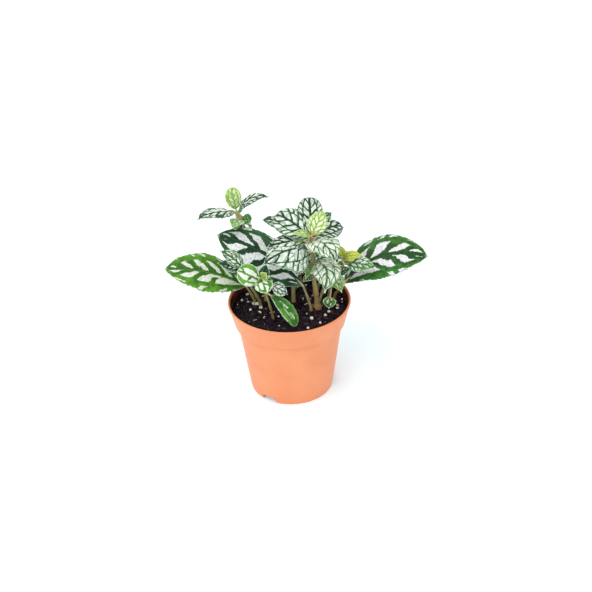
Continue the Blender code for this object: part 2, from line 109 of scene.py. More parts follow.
# Grit, sand and clods of the surface: size and height in millimetres, and how much lower the
# surface lies to make up for the clods
GRIT = (2.9, 0.55)
SAND = (1.3, 0.35)
CLODS = (5.1, 0.9)
CLOD_SINK = 0.3
# Soil heaped round a stem: its height, spread and reach in millimetres
HEAP_HEIGHT = 0.9
HEAP_SPREAD = 3
HEAP_REACH = 12
# Loose crumbs and grains: how many, their least and greatest radius in millimetres, how flat
# they are and how deep they sink
CRUMBS = (420, 0.5, 2.6, 0.7, 0.2)
STREWN_GRAINS = (90, 0.25, 1.5, 0.9, 0.0)
SEEN_GRAIN_SWELL = 1.12
SEEN_GRAIN_FLATNESS = 0.9
SEEN_GRAIN_SINK = -0.1
# The power that keeps most of them small, their least width for their length, and their lean
SMALL_SHARE_POWER = 2.5
LEAST_WIDTH = 0.6
MOST_LEAN = 0.6

# Leaves and stems
BLADE = 0.5 * MM
STEM_SIDES = 12
STEM_STEPS = 8
STALK_SIDES = 10
JOINT_SWELL = 0.35
JOINT_SPREAD = 1.8 * MM
JOINT_TINT_SPREAD = 2.6 * MM
KNOB_TINT_REACH = 1.7
FOOT_FLARE = 0.3
FOOT_SPREAD = 4 * MM
STEM_WAVE = 0.04
STEM_WAVE_RATE = 9
# Stems of more points than this have dry scales
UNSCALED_POINTS = 4
# A young tip's bud: how deep it overlaps its stem, and how thick it is beside it and at its end
BUD_OVERLAP = 0.5 * MM
BUD_SHARE = 0.85
BUD_END = 0.8
# The ridge under a blade: where it ends and begins and how long it eases in, as shares of the
# leaf, how thick it is beside its stalk, its least radius in millimetres, and its depth in
# millimetres and as a share of its radius
RIDGE_STEPS = 22
RIDGE_END = 0.93
RIDGE_START = 0.04
RIDGE_EASE = 0.1
RIDGE_SHARE = 0.55
RIDGE_LEAST = 0.18
RIDGE_SINK = 0.6
RIDGE_SINK_SHARE = 0.8
# Dry scales at the joints, with their rise in millimetres, and what they store as "stem"
SCALE_SIDES = 8
SCALE_RADIUS = 0.9 * MM
SCALE_LENGTH = 3.2 * MM
SCALE_RISE = 1.1
SCALE_FLATNESS = 0.45
SCALE_LEAN = 0.75
SCALE_TURN = 0.6
SCALE_MARK = (0.8, 0.0, 50.0)
# Powers of a blade's outline at its foot and at its tip, lower for a rounder end, and the share
# of its length before its drawn-out point
SHAPES = {
    "large": (0.95, 0.84, 1.0),
    "middle": (0.72, 0.95, 0.95),
    "rounded": (0.75, 0.5, 1.0),
    "small": (0.72, 0.95, 0.95),
    "round small": (0.75, 0.5, 1.0),
    "tiny": (0.72, 0.95, 0.95),
}
POINT_SLOPE = 0.8
LEAST_HALF = 0.5
MARGIN_DROOP = 0.16
# Along a blade its teeth, waves and relief grow up to one share and fade from another. Across
# it the relief fades towards the margin, and the teeth and waves begin.
CALM_FOOT = 0.12
CALM_TIP = 0.92
CALM_MARGIN = 0.85
TOOTH_LEAN = 0.6
TOOTH_START = 0.7
# Waves of the margin: height, number along the blade, shift by its seed, and lean
WAVES = ((1, 3.2, 1, 1.3), (0.6, 6.7, 2, -1))
WAVE_HEIGHT = 0.022
WAVE_START = 0.35
# Share of a leaf on each side of a point that gives its midrib's direction there
SIGHT_STEP = 0.01
# Rows along a blade, strips across it, and teeth along each side with their depth
GRIDS = {
    "large": (104, 44, 17, 0.05),
    "middle": (66, 30, 13, 0.09),
    "rounded": (60, 30, 11, 0.07),
    "small": (40, 18, 9, 0.09),
    "round small": (40, 18, 9, 0.07),
    "tiny": (16, 8, 4, 0.06),
}
STALKS = {"middle": 0.9, "rounded": 0.9, "small": 0.7, "round small": 0.7, "tiny": 0.35}

UP = (0, 0, 1)

# A leaf grows from a joint of its branch to its tip. Arch and bow move its midrib off the
# straight line, stalk is the bare share of its length, face is the way its upper side looks,
# and fold lifts its two halves, in degrees. Look names its finish.
Leaf = namedtuple("Leaf", "joint tip width arch bow stalk face fold size look")
Branch = namedtuple("Branch", "joints thick slim leaves")
Tip = namedtuple("Tip", "stem height leaves")

SINGLE_LEAVES = {
    "leaf_left": Branch(
        [(-33, 2, 67), (-33, 2, 90), (-36, 2, 101), (-41, 2, 112)],
        1.4,
        1.1,
        [Leaf(3, (-117, -8, 140), 46, 9, 0, 0, (0, -0.36, 0.93), 8, "large", "left patched")],
    ),
    "leaf_right": Branch(
        [(45, 14, 67), (45, 14, 90), (49, 11, 99), (54, 8, 108)],
        1.5,
        1.1,
        [Leaf(3, (134, 4, 138), 47, 14, -8, 0, (0, -0.47, 0.88), 6, "large", "right patched")],
    ),
    "leaf_middle": Branch(
        [(21, -11, 67), (21, -11, 90), (18, -9, 103), (14, -6, 115)],
        1.5,
        1.1,
        [Leaf(3, (-66, 7, 167), 54, 8, 4, 0, (0, -0.4, 0.9), -9, "large", "middle patched")],
    ),
    "leaf_back": Branch(
        [(6, 30, 67), (6, 30, 90), (10, 36, 103), (16, 44, 112)],
        1.4,
        1.1,
        [Leaf(3, (42, 110, 98), 45, 14, 0, 0, UP, 8, "large", "right patched")],
    ),
}

LEAFY_STEMS = {
    "stem_tall": [
        Branch(
            [
                (-23, 9, 67), (-23, 9, 90), (-25, 14, 115), (-34, 28, 144), (-44, 31, 168),
                (-47, 28, 178), (-47.6, 28, 180.4),
            ],
            1.9,
            1.2,
            [
                Leaf(5, (-15, 30, 194), 20, 7, 0, 0.1, UP, 8, "middle", "netted"),
                Leaf(5, (-84, 5, 185), 25, 4, 0, 0.12, UP, 8, "middle", "netted"),
                Leaf(4, (-51, 2, 176), 14, 4, 0, 0.2, (0, -0.5, 0.8), 10, "small", "pale"),
                Leaf(4, (-36, 38, 160), 19, 5, 0, 0.12, (0.3, -0.5, 0.8), 8, "round small", "edged"),
                Leaf(3, (-58, 52, 126), 24, 6, 0, 0.2, UP, 8, "middle", "netted"),
            ],
        )
    ],
    "stem_left": [
        Branch(
            [
                (-28, -1, 67), (-28, -1, 90), (-31, -7, 106), (-37, -19.5, 128),
                (-41, -29.5, 148), (-41.5, -30.5, 151),
            ],
            1.7,
            1.0,
            [
                Leaf(4, (-62.5, -28, 170), 12.5, 3, 3, 0.1, (-0.2, -0.7, 0.6), 10, "small", "pale netted"),
                Leaf(4, (-64, -34, 160), 12, 2, 0, 0.2, (-0.1, -0.5, 0.8), 10, "small", "netted"),
            ],
        )
    ],
    "stem_front": [
        Branch(
            [
                (-16, -23, 67), (-16, -23, 90), (-18, -26, 105), (-22, -30, 125),
                (-25, -31, 136), (-25, -31, 139),
            ],
            1.3,
            0.9,
            [
                Leaf(4, (-46, -35, 152), 21, 3, 0, 0.1, (0.1, -0.7, 0.7), 6, "rounded", "edged"),
                Leaf(4, (-20, -51, 137), 17, 4, 0, 0.1, (0, -0.5, 0.85), 8, "round small", "edged"),
                Leaf(4, (-14.6, -28, 136), 10, 2, 0, 0.15, (0, -0.5, 0.85), 8, "small", "edged"),
                Leaf(4, (-20, -24, 152), 10, -1, 0, 0.15, (0, -0.8, 0.6), 8, "small", "netted"),
                Leaf(4, (-1, -31, 122), 14, 3, 0, 0.35, (0, -0.5, 0.85), 8, "small", "white netted"),
                Leaf(3, (6, -43, 95), 18, 5, 0, 0.12, (0.3, -0.3, 0.9), 12, "rounded", "streaked"),
            ],
        )
    ],
    "stem_centre": [
        Branch(
            [
                (27, -5, 67), (27, -5, 90), (26, -4, 105), (24, -4, 124), (23, -4, 138),
                (23, -4, 150), (23, -4, 162), (23, -4.5, 167),
            ],
            2.6,
            1.5,
            [
                Leaf(6, (-10, 12, 184), 32, 7, 0, 0.1, (0, -0.4, 0.9), 6, "rounded", "netted"),
                Leaf(6, (44, -38, 158), 32, 9, 0, 0.1, (0.2, -0.3, 0.9), 6, "middle", "pale netted"),
                Leaf(6, (22, 28, 193), 24, 6, 0, 0.1, (0, -0.5, 0.85), 6, "rounded", "netted"),
                Leaf(6, (-20, -16, 164), 21, 4, 0, 0.15, (0, -0.3, 0.9), 8, "middle", "netted"),
                Leaf(6, (55, 14, 167), 26, 7, -2, 0.2, (0, -0.4, 0.9), 8, "middle", "netted"),
                Leaf(5, (-24, -38, 158), 44, 12, 0, 0.12, (-0.1, -0.4, 0.9), -16, "middle", "netted"),
                Leaf(6, (-25, 22, 174), 18, 9, 0, 0.3, (0, -0.3, 0.9), 8, "middle", "netted"),
                Leaf(5, (44.5, 29, 177), 18, 5, -4, 0.3, (0, -0.3, 0.9), 8, "small", "pale netted"),
                Leaf(4, (33, -42, 129), 28.5, 11, -7, 0.12, (0.1, -0.5, 0.85), 0, "middle", "pale netted"),
                Leaf(4, (44, 13, 133), 20, 5, 0, 0.1, (0, -0.3, 0.9), 8, "small", "pale netted"),
                Leaf(3, (16, 40, 120), 24, 7, 0, 0.15, UP, 8, "middle", "netted"),
                Leaf(3, (14, -18, 128), 9, 2, 0, 0.2, (0, -0.4, 0.9), 8, "small", "pale netted"),
            ],
        ),
        Branch(
            [(27, -5, 90), (30, -2, 98), (34, 2, 110), (35, 6, 122)],
            1.5,
            1.1,
            [
                Leaf(3, (38, 40, 128), 28, 7, 0, 0.12, UP, 8, "middle", "netted"),
                Leaf(3, (50, -24, 118), 20, 5, 0, 0.2, (0.2, -0.3, 0.9), 8, "small", "pale"),
            ],
        ),
    ],
    "stem_right": [
        Branch(
            [(38, 9, 67), (38, 9, 90), (42, 7, 108), (48, 5, 122), (53, 3, 133.5), (53.7, 3, 137.5)],
            1.5,
            1.0,
            [
                Leaf(4, (83, -14, 137), 18, 4, 0, 0.15, (0.1, -0.5, 0.85), 8, "middle", "green netted"),
                Leaf(4, (46, -10, 149), 11, 2, 0, 0.1, (0, -0.5, 0.8), 8, "small", "pale netted"),
                Leaf(2, (38, -11, 92), 13, 5, 0, 0.58, (0, -0.5, 0.85), 15, "small", "edged"),
            ],
        )
    ],
    "stem_back": [
        Branch(
            [(4, 5, 67), (4, 5, 90), (4, 10, 108), (2, 20, 124), (0, 28, 136), (0, 29, 139)],
            2.2,
            1.2,
            [
                Leaf(4, (-30, 58, 120), 30, 6, 0, 0.12, UP, 8, "middle", "netted"),
                Leaf(4, (26, 60, 142), 32, 8, 0, 0.12, UP, 8, "middle", "netted"),
                Leaf(3, (-12, 72, 122), 30, 8, 0, 0.15, UP, 8, "middle", "netted"),
            ],
        )
    ],
    "stem_back_left": [
        Branch(
            [(-14, 24, 67), (-14, 24, 90), (-18, 30, 102), (-26, 40, 112)],
            1.6,
            1.1,
            [
                Leaf(3, (-72, 48, 106), 30, 8, 0, 0.12, UP, 8, "middle", "netted"),
                Leaf(3, (-44, 88, 98), 32, 9, 0, 0.12, UP, 8, "middle", "netted"),
                Leaf(2, (-8, 76, 98), 26, 7, 0, 0.2, UP, 8, "middle", "netted"),
            ],
        )
    ],
    "stem_back_right": [
        Branch(
            [(28, 26, 67), (28, 26, 90), (34, 32, 104), (46, 40, 114)],
            1.6,
            1.1,
            [
                Leaf(3, (94, 52, 98), 30, 6, 0, 0.12, UP, 8, "middle", "netted"),
                Leaf(3, (66, 88, 90), 32, 9, 0, 0.12, UP, 8, "middle", "netted"),
            ],
        )
    ],
}

YOUNG_TIPS = {
    "tip_tall": Tip(
        "stem_tall",
        1.5,
        [Leaf(1, (-51, 22, 209), 15.5, 2, 0, 0.05, (0.1, -0.8, 0.4), 10, "rounded", "lime")],
    ),
    "tip_front": Tip(
        "stem_front",
        2,
        [Leaf(1, (-20, -31, 146), 8, 1, 0, 0.05, (0, -0.8, 0.5), 10, "small", "lime")],
    ),
    "tip_centre": Tip(
        "stem_centre",
        1.5,
        [
            Leaf(1, (35, 8, 190), 18.5, 3, 0, 0.05, (0, -0.8, 0.5), 8, "middle", "lime"),
            Leaf(1, (5, -14, 177.5), 8.5, 2, 0, 0.08, (0, -0.5, 0.85), 10, "small", "lime"),
        ],
    ),
    "tip_right": Tip(
        "stem_right",
        1.5,
        [
            Leaf(1, (48.5, 9.6, 151), 8.5, 1, 0, 0.08, (0, -0.8, 0.5), 8, "small", "plain lime"),
            Leaf(1, (70, -7, 148), 11, 3, 0, 0.08, (0, -0.6, 0.8), 8, "small", "plain lime"),
        ],
    ),
    "tip_back": Tip(
        "stem_back",
        3,
        [
            Leaf(1, (-9, 38, 143), 10, 2, 0, 0.08, UP, 8, "small", "lime"),
            Leaf(1, (6, 32, 149), 10, 2, 0, 0.08, UP, 8, "small", "lime"),
        ],
    ),
}


def leaflet(joint, tip, width, look, size="tiny", arch=1, fold=20):
    """One of the smallest leaves, which sit in the crowns of the leafy stems."""
    return Leaf(joint, tip, width, arch, 0, 0.1, (0, -0.7, 0.7), fold, size, look)


LEAFLETS = {
    "stem_front": [
        leaflet(4, (-28, -36, 145), 4, "lime"),
        leaflet(4, (-22, -38, 142), 4, "lime"),
        leaflet(4, (-17, -31, 143), 4, "pale"),
        leaflet(4, (-31, -38, 139), 4, "pale"),
        leaflet(4, (-26, -40, 136), 4, "lime"),
    ],
    "stem_tall": [
        leaflet(5, (-57, 24, 184), 4, "pale"),
        leaflet(5, (-40, 25, 186), 4, "pale"),
        leaflet(4, (-52, 22, 164), 6, "pale"),
        leaflet(4, (-33, 22, 175), 11, "green netted", "round small", 2, 14),
        leaflet(4, (-47, 20, 160), 8, "pale netted", "round small", 1, 14),
    ],
    "stem_centre": [
        leaflet(6, (-2, -14, 167), 5, "pale"),
        leaflet(5, (12, -14, 149), 5, "pale netted"),
        leaflet(4, (32, -16, 144), 5, "pale netted"),
        leaflet(4, (8, -21, 137), 8, "pale netted", "small", 2, 14),
        leaflet(4, (16, -24, 134), 7, "pale", "small", 2, 14),
    ],
    "stem_right": [
        leaflet(4, (62, -2, 138), 5, "pale"),
        leaflet(4, (46, -3, 137), 5, "pale"),
        leaflet(3, (60, -2, 131), 9, "pale netted", "small", 1, 10),
    ],
}

# Swellings of a stem: place, added radius, spread, and whether it is cream or brown
KNOBS = {
    "stem_tall": [((-45.5, 29.7, 172), 2.4, 5, "cream")],
    "stem_centre": [
        ((27, -5, 89.5), 2.2, 4, "brown"),
        ((26, -4, 105), 0.2, 3, "brown"),
        ((24, -4, 130), 0.3, 5, "brown"),
        ((23, -4, 161), 0.8, 3, "brown"),
    ],
    "stem_right": [((50, 4.4, 127), 1.0, 5, "brown")],
}

# Old scales round the foot of a stem: place, distance from its middle, and how many
CROWNS = {"stem_centre": ((27, -5, 91.2), 4.2, 9)}

# The larger perlite grains on the soil: place and radius
GRAINS = [
    (-35, 5, 1.6), (-32, 1, 1.9), (-28, -4, 1.5), (-29, -12, 1.4), (-24, -20, 1.3), (-38, -6, 1.2),
    (-47, 12, 1.2), (-42, 24, 1.4), (21, -24, 1.6), (34, -20, 1.5), (38, -13, 1.4), (40, -3, 1.3),
    (17, -40, 1.2), (47, -2, 1.2),
]

# How a leaf is marked. Deep and bright are its greens, silver and shade its patches, rib its
# midrib, foot its stalk end. Cells is how many patches lie along the blade, slant how many of
# them a vein runs forward on its way to the margin. Phases say where the patches of its front
# and back halves begin, or None for any place, and ratio stretches those of the front half.
# Mid, cross and lateral are half the widths of the green along the midrib, the cross veins and
# the side vein, in millimetres. Inner is where the side vein lies across the blade, outer the
# share of patches beyond it. Fringe is how ragged the patches are, net the size of the finest
# net and line its width. Rim is the width of the pale margin, stripe joins the patches of one
# half near its foot, and swell is how high the blade stands between its veins.
Look = namedtuple(
    "Look",
    "deep bright silver shade rib foot cells slant phases ratio mid cross lateral inner outer"
    " fringe net line rim stripe swell",
)
LOOKS = {
    "left patched": Look(
        (0.028, 0.135, 0.005), (0.115, 0.340, 0.016), (0.78, 0.83, 0.72), (0.58, 0.64, 0.50),
        (0.15, 0.33, 0.05), (0.20, 0.30, 0.06), 6.2, 1.5, (0.577, 0.251), 1.3, 1.7, 2.9, 2.3, 0.66, 0.5,
        1.2, 0, 0, 0.8, -1, 0.55,
    ),
    "right patched": Look(
        (0.008, 0.060, 0.006), (0.035, 0.185, 0.012), (0.77, 0.76, 0.78), (0.60, 0.60, 0.61),
        (0.04, 0.15, 0.025), (0.14, 0.26, 0.04), 4.6, 1.3, (0.597, 0.413), 1.0, 2.1, 3.5, 2.3, 0.72, 0.75,
        1.4, 0, 0, 0.9, 1, 0.55,
    ),
    "middle patched": Look(
        (0.003, 0.032, 0.010), (0.016, 0.120, 0.022), (0.84, 0.86, 0.85), (0.62, 0.64, 0.64),
        (0.012, 0.095, 0.022), (0.10, 0.18, 0.07), 5.0, 1.4, (0.934, 0.09), 1.0, 2.0, 2.7, 1.8, 0.74, 0.7,
        1.3, 0, 0, 0.4, 0, 0.55,
    ),
    "netted": Look(
        (0.004, 0.036, 0.014), (0.022, 0.120, 0.030), (0.80, 0.87, 0.78), (0.52, 0.62, 0.50),
        (0.015, 0.095, 0.024), (0.10, 0.22, 0.05), 4.7, 1.6, None, 1.0, 1.15, 0.95, 0.6, 0.56, 0.97,
        0.35, 9, 0.4, 0.45, 0, 0.8,
    ),
    "pale netted": Look(
        (0.018, 0.085, 0.028), (0.060, 0.22, 0.045), (0.84, 0.90, 0.78), (0.60, 0.69, 0.53),
        (0.08, 0.26, 0.05), (0.22, 0.34, 0.08), 4.7, 1.6, None, 1.0, 0.85, 0.62, 0.35, 0.56, 0.98,
        0.35, 8, 0.3, 0.6, 0, 0.85,
    ),
    "white netted": Look(
        (0.010, 0.070, 0.022), (0.045, 0.17, 0.045), (0.88, 0.90, 0.87), (0.70, 0.74, 0.68),
        (0.10, 0.26, 0.07), (0.20, 0.30, 0.08), 3.5, 1.2, None, 1.0, 0.6, 0.5, 0.5, 0.6, 0.95,
        0.4, 0, 0, 1.2, 0, 0.4,
    ),
    "green netted": Look(
        (0.030, 0.15, 0.020), (0.10, 0.32, 0.040), (0.82, 0.86, 0.80), (0.60, 0.67, 0.56),
        (0.12, 0.34, 0.05), (0.30, 0.38, 0.10), 4.5, 1.4, None, 1.0, 0.8, 0.8, 0.6, 0.55, 0.9,
        0.5, 5.5, 0.4, 0.7, 0, 0.6,
    ),
    "edged": Look(
        (0.050, 0.20, 0.020), (0.15, 0.41, 0.045), (0.88, 0.92, 0.83), (0.68, 0.77, 0.60),
        (0.17, 0.40, 0.06), (0.42, 0.48, 0.14), 1.5, 0.4, None, 1.0, 0.9, 0.9, 0.9, 0.62, 0.6,
        1.0, 0, 0, 0.95, 0, 0.4,
    ),
    "streaked": Look(
        (0.028, 0.150, 0.016), (0.110, 0.34, 0.035), (0.60, 0.73, 0.50), (0.40, 0.56, 0.32),
        (0.16, 0.40, 0.07), (0.34, 0.46, 0.12), 2.4, 0.5, None, 1.0, 0.9, 1.8, 2.6, 0.6, 0.3,
        1.5, 0, 0, 0.9, 0, 0.4,
    ),
    "pale": Look(
        (0.12, 0.32, 0.05), (0.33, 0.55, 0.12), (0.80, 0.86, 0.68), (0.60, 0.72, 0.45),
        (0.30, 0.52, 0.10), (0.55, 0.50, 0.16), 4.5, 1.4, None, 1.0, 0.6, 0.6, 0.5, 0.55, 0.8,
        0.4, 3.4, 0.3, 0.5, 0, 0.4,
    ),
    "lime": Look(
        (0.17, 0.37, 0.035), (0.40, 0.61, 0.085), (0.89, 0.94, 0.70), (0.70, 0.83, 0.42),
        (0.50, 0.62, 0.10), (0.70, 0.36, 0.10), 4.6, 1.6, None, 1.0, 0.55, 0.5, 0.35, 0.56, 0.92,
        0.3, 5.0, 0.25, 0.4, 0, 0.7,
    ),
    "plain lime": Look(
        (0.38, 0.48, 0.030), (0.60, 0.66, 0.07), (0.78, 0.80, 0.26), (0.68, 0.74, 0.16),
        (0.50, 0.50, 0.04), (0.62, 0.36, 0.06), 4.5, 1.5, None, 1.0, 0.5, 0.6, 0.5, 0.55, 0.5,
        0.4, 0, 0, 0.2, 0, 0.5,
    ),
}
# Where the patches of a blade's back half begin after those of its front half
SIDE_SHIFT = 0.5
# How far tints differ from leaf to leaf, and how far apart two leaves lie in the noise
TINT_RANGE = 0.3
SEED_SPREAD = 40
# How far the cross veins stray, in cells, and the length of their strays and of the ragged
# edges in millimetres
SWAY = 0.7
SWAY_SIZE = 9
FRINGE_SIZE = 1.7
# Soft joins between the bands, in millimetres, and where a patch begins and is full
INNER_JOIN = 1.2
OUTER_JOIN = 0.9
PATCH_EDGE = (-0.25, 0.3)
# A cross vein runs aslant, so its distance is this share of the distance along the blade
CROSS_SHARE = 0.75
# The outer row: its cells for each inner one, their shift, the share of their distance, and
# the bands along their veins and along the margin
OUTER_RATE = 1.6
OUTER_SHIFT = 0.3
OUTER_SHARE = 0.45
OUTER_BAND = 0.7
MARGIN_BAND = 0.9
# How much of the silver the finest net takes, and where its lines begin and end
NET_SHARE = 0.62
LINE_EDGE = (0.4, 1.3)
# Shares of a blade: where joined patches part, silver is full, and the pale tip begins
STRIPE_END = (0.36, 0.46)
SILVER_FOOT = 0.10
TIP_START = 0.965
# Half widths and depths of the grooves along the midrib and the other veins, in millimetres
MIDRIB_GROOVE = 0.9
VEIN_GROOVE = 0.8
MIDRIB_SINK = 0.5
VEIN_SINK = 0.4
# How far a vein runs forward on the underside, in patches
BACK_SLANT = 1.6

# How much light the surfaces throw back
LEAF_SHINE = 0.28
POT_SHINE = 0.25
SOIL_SHINE = 0.12

# Two colours of each material, the painted shade line under the pot's lip step, and the painted shade and
# soil dust of its inside
PLASTIC = ((0.80, 0.270, 0.122), (0.85, 0.310, 0.148))
PLASTIC_STEP_SHADE = (0.50, 0.13, 0.05)
PLASTIC_INSIDE_SHADE_AND_DUST = ((0.22, 0.034, 0.026), (0.055, 0.012, 0.011))
PEAT = ((0.0030, 0.0020, 0.004), (0.032, 0.018, 0.026))
PEAT_CRUMBS = ((0.0035, 0.0020, 0.004), (0.068, 0.040, 0.048))
PERLITE = ((0.95, 0.91, 0.83), (0.60, 0.50, 0.40))
FLOOR_COLOUR = (0.91, 0.965, 0.975)
FLOOR_GLOW = (0.35, 0.75, 1.0)

# Bark, joints and leaf stalks
STEM_SKIN = ((0.38, 0.35, 0.135), (0.36, 0.115, 0.035), (0.70, 0.60, 0.36))
YOUNG_SKIN = ((0.55, 0.50, 0.16), (0.55, 0.22, 0.06), (0.62, 0.60, 0.26))

UNDERSIDE = {
    "patched": ((0.16, 0.26, 0.10), (0.30, 0.42, 0.22)),
    "netted": ((0.20, 0.30, 0.16), (0.40, 0.48, 0.33)),
    "lime": ((0.32, 0.42, 0.10), (0.52, 0.60, 0.22)),
}

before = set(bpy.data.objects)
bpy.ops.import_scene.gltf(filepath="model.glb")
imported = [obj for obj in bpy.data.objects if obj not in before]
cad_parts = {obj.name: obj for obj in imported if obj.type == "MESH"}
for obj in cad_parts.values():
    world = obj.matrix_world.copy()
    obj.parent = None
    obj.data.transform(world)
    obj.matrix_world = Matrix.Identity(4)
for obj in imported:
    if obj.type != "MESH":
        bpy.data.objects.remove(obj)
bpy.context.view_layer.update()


class Finish:
    """A material and short ways to wire its nodes."""

    def __init__(self, name, roughness=0.5):
        self.material = bpy.data.materials.new(name)
        self.material.use_nodes = True
        self.tree = self.material.node_tree
        self.shader = self.tree.nodes["Principled BSDF"]
        self.shader.inputs["Roughness"].default_value = roughness

    def node(self, kind, **settings):
        made = self.tree.nodes.new("ShaderNode" + kind)
        for setting, value in settings.items():
            setattr(made, setting, value)
        return made

    def feed(self, socket, value):
        if isinstance(value, bpy.types.NodeSocket):
            self.tree.links.new(value, socket)
        elif socket.type == "RGBA" and len(value) == 3:
            socket.default_value = (*value, 1)
        else:
            socket.default_value = value

    def set(self, socket, value):
        self.feed(self.shader.inputs[socket], value)

    def math(self, operation, *values):
        made = self.node("Math", operation=operation)
        for socket, value in zip(made.inputs, values):
            self.feed(socket, value)
        return made.outputs[0]

    def add(self, first, second):
        return self.math("ADD", first, second)

    def less(self, first, second):
        return self.math("SUBTRACT", first, second)

    def times(self, first, second):
        return self.math("MULTIPLY", first, second)

    def rest(self, share):
        """What is left of 1."""
        return self.less(1.0, share)

    def to_whole(self, count):
        """How far a number is from the nearest whole one."""
        part = self.math("FRACT", count)
        return self.less(0.5, self.math("ABSOLUTE", self.less(part, 0.5)))

    def soft_least(self, first, second, softness):
        """The smaller of two values, with a soft join between them."""
        return self.math("SMOOTH_MIN", first, second, softness)

    def step(self, value, low, high):
        """0 below low, 1 above high, and smooth between them."""
        made = self.node("MapRange", interpolation_type="SMOOTHSTEP")
        self.feed(made.inputs["Value"], value)
        self.feed(made.inputs["From Min"], low)
        self.feed(made.inputs["From Max"], high)
        return made.outputs["Result"]

    def mix(self, share, first, second):
        made = self.node("Mix", data_type="RGBA")
        self.feed(made.inputs[0], share)
        self.feed(made.inputs[6], first)
        self.feed(made.inputs[7], second)
        return made.outputs[2]

    def attribute(self, name):
        return self.node("Attribute", attribute_name=name).outputs["Vector"]

    def value(self, name):
        return self.node("Attribute", attribute_name=name).outputs["Fac"]

    def split(self, vector):
        made = self.node("SeparateXYZ")
        self.feed(made.inputs[0], vector)
        return made.outputs

    def join(self, x, y, z):
        made = self.node("CombineXYZ")
        for socket, value in zip(made.inputs, (x, y, z)):
            self.feed(socket, value)
        return made.outputs[0]

    def place(self):
        """Object coordinates in millimetres."""
        made = self.node("VectorMath", operation="SCALE")
        self.feed(made.inputs[0], self.node("TexCoord").outputs["Object"])
        made.inputs["Scale"].default_value = 1 / MM
        return made.outputs[0]

    def noise(self, place, size, detail=2.0):
        """Noise from 0 to 1 with lumps of a size in the units of the place."""
        made = self.node("TexNoise")
        self.feed(made.inputs["Vector"], place)
        made.inputs["Scale"].default_value = 1 / size
        made.inputs["Detail"].default_value = detail
        return made.outputs["Fac"]

    def chance(self, place):
        """A random value for each whole place."""
        made = self.node("TexWhiteNoise", noise_dimensions="3D")
        self.feed(made.inputs["Vector"], place)
        return made.outputs["Value"]

    def net(self, place, size):
        """Distance from the edges of irregular cells, in the units of the place."""
        made = self.node("TexVoronoi", feature="DISTANCE_TO_EDGE")
        self.feed(made.inputs["Vector"], place)
        made.inputs["Scale"].default_value = 1 / size
        made.inputs["Randomness"].default_value = 0.85
        return self.times(made.outputs["Distance"], size)

    def bump(self, height, depth):
        """Relief of a depth where the height goes from 0 to 1."""
        made = self.node("Bump")
        self.feed(made.inputs["Height"], height)
        made.inputs["Distance"].default_value = depth
        made.inputs["Strength"].default_value = 1
        self.set("Normal", made.outputs["Normal"])


